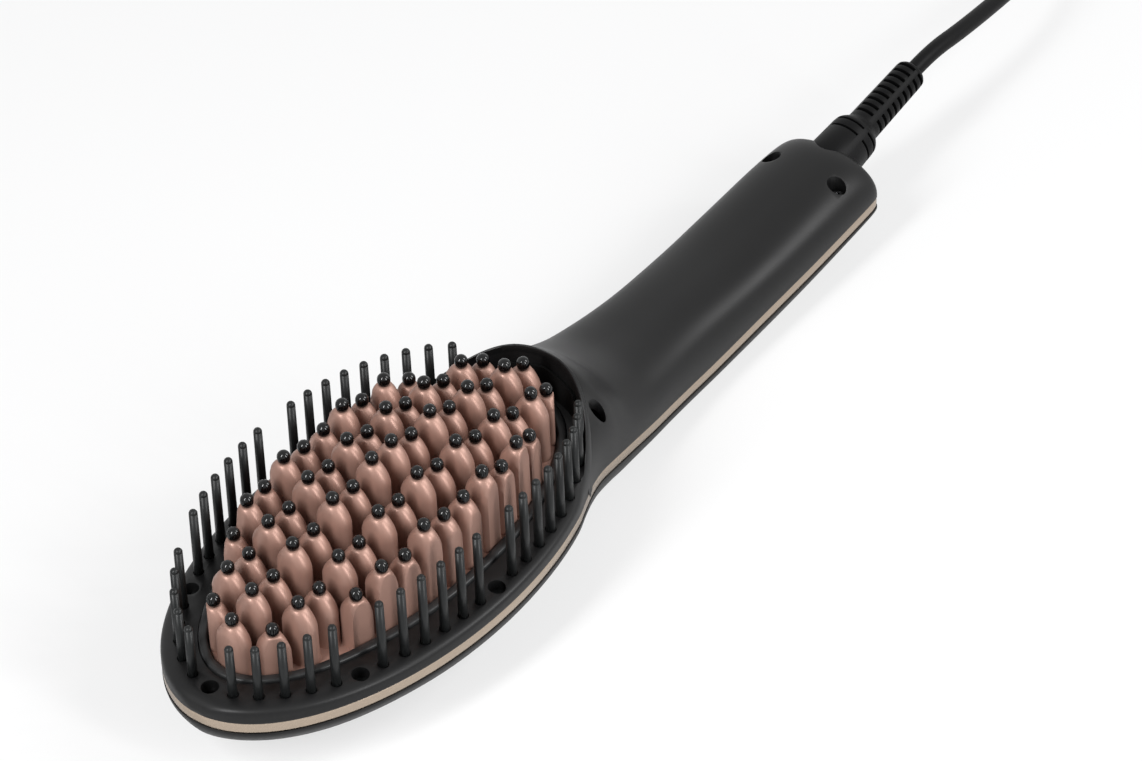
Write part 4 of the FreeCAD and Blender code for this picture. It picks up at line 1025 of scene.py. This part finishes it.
def build_trim():
    """Metal-look band with a crowned face, closed round both ends."""
    rings = []
    rows = smooth_rows(0.15, 6)
    for i, row in enumerate(rows):
        y, w, zp = row[:3]
        if i == 0:
            rings.append([(0.0, y, zp), Vector((0, -1, 0))])
        before = rows[max(i - 1, 0)]
        after = rows[min(i + 1, len(rows) - 1)]
        across = Vector((after[0] - before[0], -(after[1] - before[1]), 0)).normalized()
        if i == len(rows) - 1:
            across = Vector((0.8, 0.6, 0))
        rings.append([(w, y, zp), across])
    rings.append([(0.0, rows[-1][0], rows[-1][2]), Vector((0, 1, 0))])
    for place, across in reversed(rings[1:-1]):
        rings.append([(-place[0], place[1], place[2]), Vector((-across.x, across.y, 0))])
    lower = [(out, -TRIM_H - up) for out, up in reversed(TRIM_FACE[:-1])]
    profile = [*TRIM_FACE, *lower, (-TRIM_DEPTH, -TRIM_H), (-TRIM_DEPTH, 0.0)]
    verts = []
    for place, across in rings:
        verts += [Vector(place) + across * out + Vector((0, 0, up)) for out, up in profile]
    trim = mesh_object("trim_band", verts, quads(len(rings), len(profile), loop=True), 45.0)
    return finish_piece(trim, "root", "trim", "champagne_trim", "trim_strip")


def build_bezel():
    """Oval frame round the plate; its foot stands out further at the sides than at the ends."""
    count = 200
    verts = []
    for c, s in circle(count):
        for out, z in BEZEL_PROFILE:
            a = BEZEL_OUT[0] + out
            b = BEZEL_OUT[1] + min(out, BEZEL_FOOT)
            verts.append((a * c, PLATE_Y + b * s, z))
    ring = mesh_object("bezel_ring", verts, quads(count, len(BEZEL_PROFILE), loop=True), 50.0)
    return finish_piece(ring, "root", "bezel", "bezel_satin", "plate_bezel")


def fin_rings(top):
    """Levels of a fin below its seat: height, half width, half thickness."""
    wide = sizes().fin_width / MM / 2.0
    thick = sizes().fin_thickness / MM / 2.0
    drop = sizes().fin_shoulder / MM
    levels = []
    for d in FIN_STEPS:
        curve = (1.0 - (1.0 - min(1.0, d)) ** FIN_DOME) ** (1.0 / FIN_DOME)
        flank = math.sqrt(1.0 - (1.0 - d / FIN_FLANK) ** 2)
        half_wide = FIN_SEAT + (wide - FIN_SEAT) * curve
        levels.append((top - d * drop, half_wide, FIN_SEAT + (thick - FIN_SEAT) * flank))
    levels += [(PLATE_TOP + up, wide * wider, thick * thicker) for up, wider, thicker in FIN_FOOT]
    return levels


def build_plate():
    """Hot plate with its fins, those at the edge cut flush with it."""
    verts = []
    faces = []
    outline = [tuple(math.copysign(abs(v) ** FIN_SQUARENESS, v) for v in step) for step in circle(24)]
    count = len(outline)
    a = PLATE[0] - 0.05
    b = PLATE[1] - 0.05
    for x, y, z in TEETH:
        k = len(verts)
        levels = fin_rings(z - BALL_SEAT)
        for level, hx, hy in levels:
            for across, along in outline:
                py = max(PLATE_Y - b, min(PLATE_Y + b, y + hy * along))
                limit = oval_width(a, b, PLATE_Y, py)
                verts.append((max(-limit, min(limit, x + hx * across)), py, level))
        faces.append(tuple(range(k, k + count)))
        faces.append(tuple(range(len(verts) - count, len(verts))))
        faces += quads(len(levels), count, k)
    fins = mesh_object("hot_plate", verts, faces, 60.0)
    base = oval_tool(*PLATE, PLATE_Y, PLATE_TOP - 3.0, PLATE_TOP)
    soften(base, 0.0004, 60.0)
    legs = rods_tool([(s * LEG_X, PLATE_Y + y, LEG_RADIUS, LEG_FOOT, -3.6) for s in (1, -1) for y in LEG_YS])
    join_into(fins, [base, legs])
    return finish_piece(fins, "root", "plate", "rose_ceramic", "heater_plate")


def to_origin(obj):
    """Moves a small part from the deck's zero to the frame's."""
    obj.data.transform(Matrix.Translation(-at(0, 0, 0)))
    return obj


def join_into(obj, others):
    """Adds the others' meshes to the object and removes them."""
    bm = bmesh.new()
    bm.from_mesh(obj.data)
    for other in others:
        bm.from_mesh(other.data)
        bpy.data.objects.remove(other)
    bm.to_mesh(obj.data)
    bm.free()
    return obj


def build_balls():
    """Glossy ball tips, each a little longer below than above, seated on its fin."""
    r = sizes().ball_radius / MM
    profile = [(r * math.sin(math.pi * i / 16), r * math.cos(math.pi * i / 16)) for i in range(9)]
    profile += [(share * r, height) for share, height in BALL_SKIRT]
    tip = spun("ball", profile, 24)
    balls = points_object("ball_tip_set", TEETH)
    grow(balls, copies_tree("Ball tips"), Part=tip, Finish=MATERIALS["ball_gloss"])
    bpy.data.objects.remove(tip)
    return finish_piece(balls, "root", "ball", "ball_gloss", "ball_tips")


def spun(name, profile, count):
    """Small upright turned part from (radius, height) pairs, on the axis at both ends."""
    inner = profile[1:-1]
    n = len(inner)
    verts = [(0.0, 0.0, profile[0][1]), (0.0, 0.0, profile[-1][1])]
    for c, s in circle(count):
        verts += [(r * c, r * s, z) for r, z in inner]
    faces = []
    for i in range(count):
        a = 2 + i * n
        b = 2 + (i + 1) % count * n
        faces += [(0, a, b), (1, b + n - 1, a + n - 1)]
        faces += [(a + k, a + k + 1, b + k + 1, b + k) for k in range(n - 1)]
    return to_origin(mesh_object(name, verts, faces, 60.0))


def build_combs():
    """Guard bristles of each half on their carrier strip under the deck."""
    tree = rod_tree("Guard bristles")
    radius = sizes().bristle_radius
    for side, node in ((1, "guard_comb_right"), (-1, "guard_comb_left")):
        places = [(x, y, BRISTLE_FOOT) for x, y in BRISTLES if x * side > 0]
        top = BRISTLE_TOP - BRISTLE_FOOT - radius / MM * BRISTLE_TAPER[0]
        tall = [top - BRISTLE_DROP * ((y - BRISTLE_CREST) / BRISTLE[1]) ** 2 for _, y, _ in places]
        comb = points_object(node + "_bristles", places, tall)
        grow(comb, tree, Radius=radius, Finish=MATERIALS["comb_satin"])
        join_into(comb, [carrier_strip(side)])
        finish_piece(comb, "root", "comb", "comb_satin", node)


def carrier_strip(side):
    """Strip under the deck that one side's bristles stand on."""
    verts = []
    steps = 60
    for i in range(steps + 1):
        t = math.pi * (0.02 + 0.83 * i / steps)
        outer = bristle_line(BRISTLE[0] + 0.4, BRISTLE[1] + 0.9, t)
        inner = (STRIP_INNER[0] * math.sin(t), PLATE_Y - STRIP_INNER[1] * math.cos(t))
        for x, y in (outer, inner):
            for z in STRIP_LEVELS:
                verts.append((side * x, y, z))
    faces = [(0, 1, 3, 2), (steps * 4, steps * 4 + 2, steps * 4 + 3, steps * 4 + 1)]
    for i in range(steps):
        p = i * 4
        q = p + 4
        faces += [(p, p + 2, q + 2, q), (p + 1, q + 1, q + 3, p + 3)]
        faces += [(p, q, q + 1, p + 1), (p + 2, p + 3, q + 3, q + 2)]
    return mesh_object("strip", verts, faces)


def build_screws():
    """Dark pan heads with crossed recesses at the bottoms of the bores."""
    head = to_origin(rods_tool([(0.0, 0.0, *SCREW_HEAD)], 32))
    cross = []
    for hx, hy in (SCREW_CROSS, SCREW_CROSS[::-1]):
        cross.append(to_origin(prism_tool(bar(-hx, hx, -hy, hy), SCREW_CROSS_FLOOR, 3.0)))
    cut(head, cross)
    soften(head, 0.00018, 50.0)
    join_into(head, [to_origin(rods_tool([(0.0, 0.0, *SCREW_SHANK)], 16))])
    tree = copies_tree("Screws")
    sets = (("deck_screws", DECK_SCREWS), ("neck_screws", NECK_SCREWS), ("end_screws", END_SCREWS))
    for node, places in sets:
        screws = points_object(node + "_turned", places)
        grow(screws, tree, Part=head, Finish=MATERIALS["screw_black"])
        finish_piece(screws, "root", "screw", "screw_black", node)
    bpy.data.objects.remove(head)


# ---- controls ----

def build_fascia():
    """Glossy plate let into the back, with the display's window in it."""
    slab = prism_tool(stadium_ring(*FASCIA, 24), FACE_Z, FACE_Z + 1.0)
    slab.name = "fascia_plate"
    tools = [prism_tool(rounded_ring(*WINDOW_HOLE), FACE_Z - 2, FACE_Z + 3)]
    tools.append(rods_tool([(0.0, y, KEY_HOLE, FACE_Z - 2, FACE_Z + 3) for _, y in BUTTONS], 48))
    cut(slab, tools)
    soften(slab, 0.00015, 40.0)
    finish_piece(slab, "root", "fascia", "fascia_gloss", "fascia")
    pane = prism_tool(rounded_ring(*WINDOW_PANE), FACE_Z, FACE_Z + 1.0)
    pane.name = "window_pane"
    soften(pane, 0.0002, 40.0)
    finish_piece(pane, "root", "window", "smoked_window", "display_window")


def button_mark(kind, y):
    """Raised generic sign on a key."""
    if kind == "power":
        arc = []
        for r, steps in ((1.75, range(25)), (1.4, range(24, -1, -1))):
            turns = [math.radians(35 + 290 * i / 24) for i in steps]
            arc += [(r * math.sin(t), y - r * math.cos(t)) for t in turns]
        rings = [arc, bar(-0.17, 0.17, y - 2.1, y - 0.5)]
    else:
        rings = [bar(-1.6, 1.6, y - 0.2, y + 0.2)]
    if kind == "plus":
        rings += [bar(-0.2, 0.2, y - 1.6, y - 0.2), bar(-0.2, 0.2, y + 0.2, y + 1.6)]
    signs = [prism_tool(ring, FACE_Z - 0.24, FACE_Z - 0.1) for ring in rings]
    mark = join_into(signs[0], signs[1:])
    mark.name = kind + "_mark"
    return mark


def build_buttons():
    """Keys with their flange, stem and raised sign, each on its own body."""
    for kind, y in BUTTONS:
        cap = rods_tool([(0.0, y, KEY_RADIUS, FACE_Z - 0.2, LAND_Z + 3.0)], 64)
        cap.name = kind + "_key"
        soften(cap, 0.0003, 50.0, 3)
        flange = rods_tool([(0.0, y, KEY_FLANGE, LAND_Z + 3.0, LAND_Z + 3.8)], 48)
        stem = rods_tool([(0.0, y, KEY_STEM, LAND_Z + 3.8, LAND_Z + 5.6)], 24)
        join_into(cap, [flange, stem])
        finish_piece(cap, kind, "button", "button_satin", kind + "_button")
        finish_piece(button_mark(kind, y), kind, "button", "mark_pale")


# ---- swivel, boot, lead ----

BOX_FACES = ((0, 1, 3, 2), (4, 6, 7, 5), (0, 4, 5, 1), (2, 3, 7, 6), (0, 2, 6, 4), (1, 5, 7, 3))


def slot_boxes():
    """Slots in four rows round the boot: two in the base's rings, the rest along the tail."""
    rings = [(start, *BASE_SLOT) for start in BASE_SLOTS]
    rings += [(BOOT_SLOT_START + i * BOOT_SLOT_PITCH, *TAIL_SLOT) for i in range(BOOT_SLOTS)]
    verts = []
    faces = []
    for start, width, half, depth in rings:
        for out, side in ((ACROSS, AXIS_UP), (-ACROSS, AXIS_UP), (AXIS_UP, ACROSS), (-AXIS_UP, ACROSS)):
            k = len(verts)
            for reach in (depth, SLOT_REACH):
                for across in (-half, half):
                    for along in (start, start + width):
                        verts.append(AXIS_FOOT + AXIS * along + out * reach + side * across)
            faces += [tuple(k + i for i in f) for f in BOX_FACES]
    return mesh_object("tool", verts, faces, 0)


def build_boot():
    """Strain relief that turns in the handle's end: round base, soft shoulder, slotted tail."""
    shoulder = []
    for i in range(1, 8):
        t = math.pi * i / 8.0
        along = BOOT_SHOULDER + (BOOT_NECK - BOOT_SHOULDER) * i / 8.0
        shoulder.append((along, 6.05 + 1.05 * math.cos(t)))
    boot = lathe("slotted_boot", [*BOOT_BASE, *shoulder, *BOOT_TAIL], 96, 30.0)
    cut(boot, [slot_boxes()])
    soften(boot, 0.00014, 38.0)
    return finish_piece(boot, "boot", "boot", "moulded_rubber", "cord_boot")


def lead_points():
    """Route of the lead from the boot, down to the surface and to the coil."""
    start = AXIS_FOOT + AXIS * BOOT_END
    return [
        start,
        start + AXIS * 9.0,
        Vector((0.0, 272.0, 0.1)),
        Vector((-3.0, 300.0, -4.6)),
        Vector((-10.0, 328.0, -13.5)),
        Vector((-20.0, 356.0, -23.2)),
        Vector((COIL_SIDE_X, 374.0, LEAD_Z)),
        Vector((COIL_SIDE_X, COIL_CENTRE[1] - COIL_ENTRY, LEAD_Z)),
    ]


def coil_points():
    """Turns beside and on each other: layers wound inwards and outwards in turn."""
    per_turn = 14
    per_layer = COIL_TURNS / COIL_LAYERS
    pitch = 2.0 * CORD_R
    rise = 0.2
    cx, cy = COIL_CENTRE
    out = []
    for i in range(per_turn * COIL_TURNS + 1):
        turn = i / per_turn
        layer = min(int(turn / per_layer), COIL_LAYERS - 1)
        inward = turn - layer * per_layer
        if layer % 2:
            inward = per_layer - inward
        r = COIL_TURN - pitch * inward
        height = 0.0
        for change in range(1, COIL_LAYERS):
            share = min(1.0, max(0.0, (turn - change * per_layer) / (2.0 * rise) + 0.5))
            height += share * share * (3.0 - 2.0 * share)
        t = math.pi - 2.0 * math.pi * turn
        out.append(Vector((cx + r * math.cos(t), cy + r * math.sin(t), LEAD_Z + pitch * height)))
    return out


def tail_points():
    """From the top of the coil down to the plug, and into its sleeve."""
    y = COIL_CENTRE[1]
    out = []
    for run, z in zip(TAIL_RUNS + (PLUG_OVERLAP,), (COIL_TOP_Z, PLUG_Z, PLUG_Z, PLUG_Z)):
        y += run
        out.append(Vector((COIL_SIDE_X, y, z)))
    return out


def build_lead():
    """Lead from the boot to the plug, put away as a coil behind the handle."""
    points = [at(*p) for p in lead_points() + coil_points() + tail_points()]
    curve = bpy.data.curves.new("mains_lead", "CURVE")
    curve.dimensions = "3D"
    spline = curve.splines.new("NURBS")
    spline.points.add(len(points) - 1)
    for point, place in zip(spline.points, points):
        point.co = (*place, 1.0)
    spline.order_u = 3
    spline.use_endpoint_u = True
    curve.bevel_depth = CORD_R * MM
    curve.bevel_resolution = 6
    curve.resolution_u = 8
    curve.use_fill_caps = True
    lead = add_object("mains_lead", curve)
    curve.materials.append(MATERIALS["moulded_rubber"])
    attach(lead, "root")
    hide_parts("cord_lead", "cord_coil")
    return lead


# ---- stage ----

def build_camera():
    ahead = Vector((
        -math.sin(CAMERA_AZIMUTH) * math.cos(CAMERA_ELEVATION),
        math.cos(CAMERA_AZIMUTH) * math.cos(CAMERA_ELEVATION),
        -math.sin(CAMERA_ELEVATION),
    ))
    level = Vector((math.cos(CAMERA_AZIMUTH), math.sin(CAMERA_AZIMUTH), 0.0))
    above = level.cross(ahead)
    right = level * math.cos(CAMERA_ROLL) + above * math.sin(CAMERA_ROLL)
    up = right.cross(ahead)
    data = bpy.data.cameras.new("camera")
    data.lens = CAMERA_LENS
    data.sensor_width = CAMERA_SENSOR
    data.clip_end = CAMERA_REACH
    camera = add_object("camera", data)
    turn = Matrix((right, up, -ahead)).transposed().to_4x4()
    camera.matrix_world = Matrix.Translation(CAMERA_PLACE) @ turn
    bpy.context.scene.camera = camera


def build_lamp(name, place, target, size, power):
    data = bpy.data.lights.new(name, "AREA")
    data.shape = "RECTANGLE"
    data.size, data.size_y = size
    data.energy = power
    lamp = add_object(name, data)
    lamp.location = place
    lamp.rotation_euler = (Vector(target) - Vector(place)).to_track_quat("-Z", "Y").to_euler()


def mix_shaders(tree, share, first, second, end):
    """Ends the tree with a mix of two shaders."""
    mix = tree.nodes.new("ShaderNodeMixShader")
    for source, socket in zip((share, first.outputs[0], second.outputs[0]), mix.inputs):
        tree.links.new(source, socket)
    tree.links.new(mix.outputs[0], tree.nodes[end].inputs["Surface"])


def build_floor():
    mesh = bpy.data.meshes.new("floor")
    corners = bar(-FLOOR_HALF, FLOOR_HALF, -FLOOR_HALF, FLOOR_HALF)
    mesh.from_pydata([(x, y, 0) for x, y in corners], [], [(0, 1, 2, 3)])
    floor = add_object("floor", mesh)
    paint = bpy.data.materials.new("floor_white")
    paint.use_nodes = True
    nodes = paint.node_tree.nodes
    shader = nodes["Principled BSDF"]
    shader.inputs["Base Color"].default_value = (0.88, 0.88, 0.88, 1.0)
    shader.inputs["Roughness"].default_value = 0.9
    shader.inputs["Specular IOR Level"].default_value = 0.1
    white = nodes.new("ShaderNodeEmission")
    seen = nodes.new("ShaderNodeLightPath").outputs["Is Camera Ray"]
    share = math_node(paint.node_tree, "MULTIPLY", seen, FLOOR_WHITE)
    mix_shaders(paint.node_tree, share, shader, white, "Material Output")
    mesh.materials.append(paint)
    return floor


def build_world():
    world = bpy.data.worlds.new("studio")
    world.use_nodes = True
    bpy.context.scene.world = world
    nodes = world.node_tree.nodes
    plain = nodes["Background"]
    plain.inputs["Color"].default_value = (0.80, 0.81, 0.83, 1.0)
    plain.inputs["Strength"].default_value = 0.30
    white = nodes.new("ShaderNodeBackground")
    white.inputs["Color"].default_value = (1.0, 1.0, 1.0, 1.0)
    path = nodes.new("ShaderNodeLightPath")
    seen = path.outputs["Is Camera Ray"]
    for ray in ("Is Glossy Ray", "Is Transmission Ray"):
        seen = math_node(world.node_tree, "MAXIMUM", seen, path.outputs[ray])
    mix_shaders(world.node_tree, seen, plain, white, "World Output")


# ---- plug ----

def build_plug():
    """Bevelled two-pin plug at the end of the lead."""
    sleeve_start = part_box("plug_body")[0][1] / MM - SHIFT_Y
    low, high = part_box("plug_pins")
    face = low[1] / MM - SHIFT_Y
    z = (low[2] + high[2]) / 2 / MM - BACK_DEPTH
    x = COIL_SIDE_X
    ring = [(x + px, face + py) for px, py in PLUG_OUTLINE]
    ring += [(x - px, face + py) for px, py in reversed(PLUG_OUTLINE)]
    grip = prism_tool(ring, z - PLUG_HALF_DEPTH, z + PLUG_HALF_DEPTH)
    grip.name = "plug_grip"
    soften(grip, 0.0022, 30.0, 4)
    sleeve_end = Vector((x, face - SLEEVE_END, z))
    join_into(grip, [tube_along(Vector((x, sleeve_start, z)), sleeve_end, SLEEVE_RADII, 32)])
    finish_piece(grip, "root", "plug", "plug_black", "plug_body")
    pins = []
    for px in (low[0] / MM + PIN_RADII[0], high[0] / MM - PIN_RADII[0]):
        end = Vector((px, high[1] / MM - SHIFT_Y, z))
        pins.append(tube_along(Vector((px, face - 0.5, z)), end, PIN_RADII, 24))
    join_into(pins[0], pins[1:])
    pins[0].name = "plug_pin_pair"
    finish_piece(pins[0], "root", "pin", "pin_nickel", "plug_pins")
    return grip, pins[0]


def tube_along(start, end, radii, count):
    """Straight round piece along Y whose radius follows the list."""
    verts = []
    n = len(radii)
    for k, r in enumerate(radii):
        p = start + (end - start) * k / (n - 1)
        verts += [(p.x + r * c, p.y, p.z + r * s) for c, s in circle(count)]
    caps = [tuple(range(count)), tuple(range((n - 1) * count, n * count))]
    return mesh_object("tube", verts, caps + quads(n, count), 45.0)


# ---- operators ----

class BRUSH_OT_stage(bpy.types.Operator):
    """Camera, lamps, floor and world"""

    bl_idname = "brush.stage"
    bl_label = "Stage"

    def execute(self, context):
        context.scene.view_settings.view_transform = "Standard"
        build_camera()
        build_world()
        build_floor()
        for lamp in LAMPS:
            build_lamp(*lamp)
        return {"FINISHED"}


class BRUSH_OT_finishes(bpy.types.Operator):
    """Materials, and those of the parts that keep their own shape"""

    bl_idname = "brush.finishes"
    bl_label = "Finishes"

    def execute(self, context):
        make_materials()
        for node, name in NODE_FINISHES.items():
            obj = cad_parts[node]
            for slot in obj.material_slots:
                slot.material = MATERIALS[name]
        return {"FINISHED"}


class BRUSH_OT_lead(bpy.types.Operator):
    """Strain relief, lead and plug"""

    bl_idname = "brush.lead"
    bl_label = "Lead"

    def execute(self, context):
        build_boot()
        lead = build_lead()
        pieces = build_plug()
        return {"FINISHED"}


class BRUSH_OT_shells(bpy.types.Operator):
    """Front shell, back shell and trim"""

    bl_idname = "brush.shells"
    bl_label = "Shells"

    def execute(self, context):
        build_front_shell()
        build_back_shell()
        build_trim()
        return {"FINISHED"}


class BRUSH_OT_plate(bpy.types.Operator):
    """Hot plate, its fins, ball tips and frame"""

    bl_idname = "brush.plate"
    bl_label = "Plate"

    def execute(self, context):
        build_plate()
        build_balls()
        build_bezel()
        return {"FINISHED"}


class BRUSH_OT_bristles(bpy.types.Operator):
    """Guard bristles and screws"""

    bl_idname = "brush.bristles"
    bl_label = "Bristles"

    def execute(self, context):
        build_combs()
        build_screws()
        return {"FINISHED"}


class BRUSH_OT_controls(bpy.types.Operator):
    """Fascia, window and keys on the back"""

    bl_idname = "brush.controls"
    bl_label = "Controls"

    def execute(self, context):
        build_fascia()
        build_buttons()
        return {"FINISHED"}


OPERATORS = (
    BRUSH_OT_stage,
    BRUSH_OT_finishes,
    BRUSH_OT_lead,
    BRUSH_OT_shells,
    BRUSH_OT_plate,
    BRUSH_OT_bristles,
    BRUSH_OT_controls,
)


class BRUSH_PT_panel(bpy.types.Panel):
    """Lists the steps that build the brush"""

    bl_idname = "BRUSH_PT_panel"
    bl_label = "Heated Brush"
    bl_space_type = "VIEW_3D"
    bl_region_type = "UI"
    bl_category = "Brush"

    def draw(self, context):
        for operator in OPERATORS:
            self.layout.operator(operator.bl_idname)


CLASSES = (BrushSizes, BrushColours, *OPERATORS, BRUSH_PT_panel)


def register():
    for item in CLASSES:
        bpy.utils.register_class(item)
    bpy.types.Scene.brush_sizes = bpy.props.PointerProperty(type=BrushSizes)
    bpy.types.Scene.brush_colours = bpy.props.PointerProperty(type=BrushColours)


def unregister():
    del bpy.types.Scene.brush_colours
    del bpy.types.Scene.brush_sizes
    for item in reversed(CLASSES):
        bpy.utils.unregister_class(item)


def main():
    register()
    bpy.ops.brush.stage()
    bpy.ops.brush.finishes()
    bpy.ops.brush.lead()
    bpy.ops.brush.shells()
    bpy.ops.brush.plate()
    bpy.ops.brush.bristles()
    bpy.ops.brush.controls()


if __name__ == "__main__":
    main()
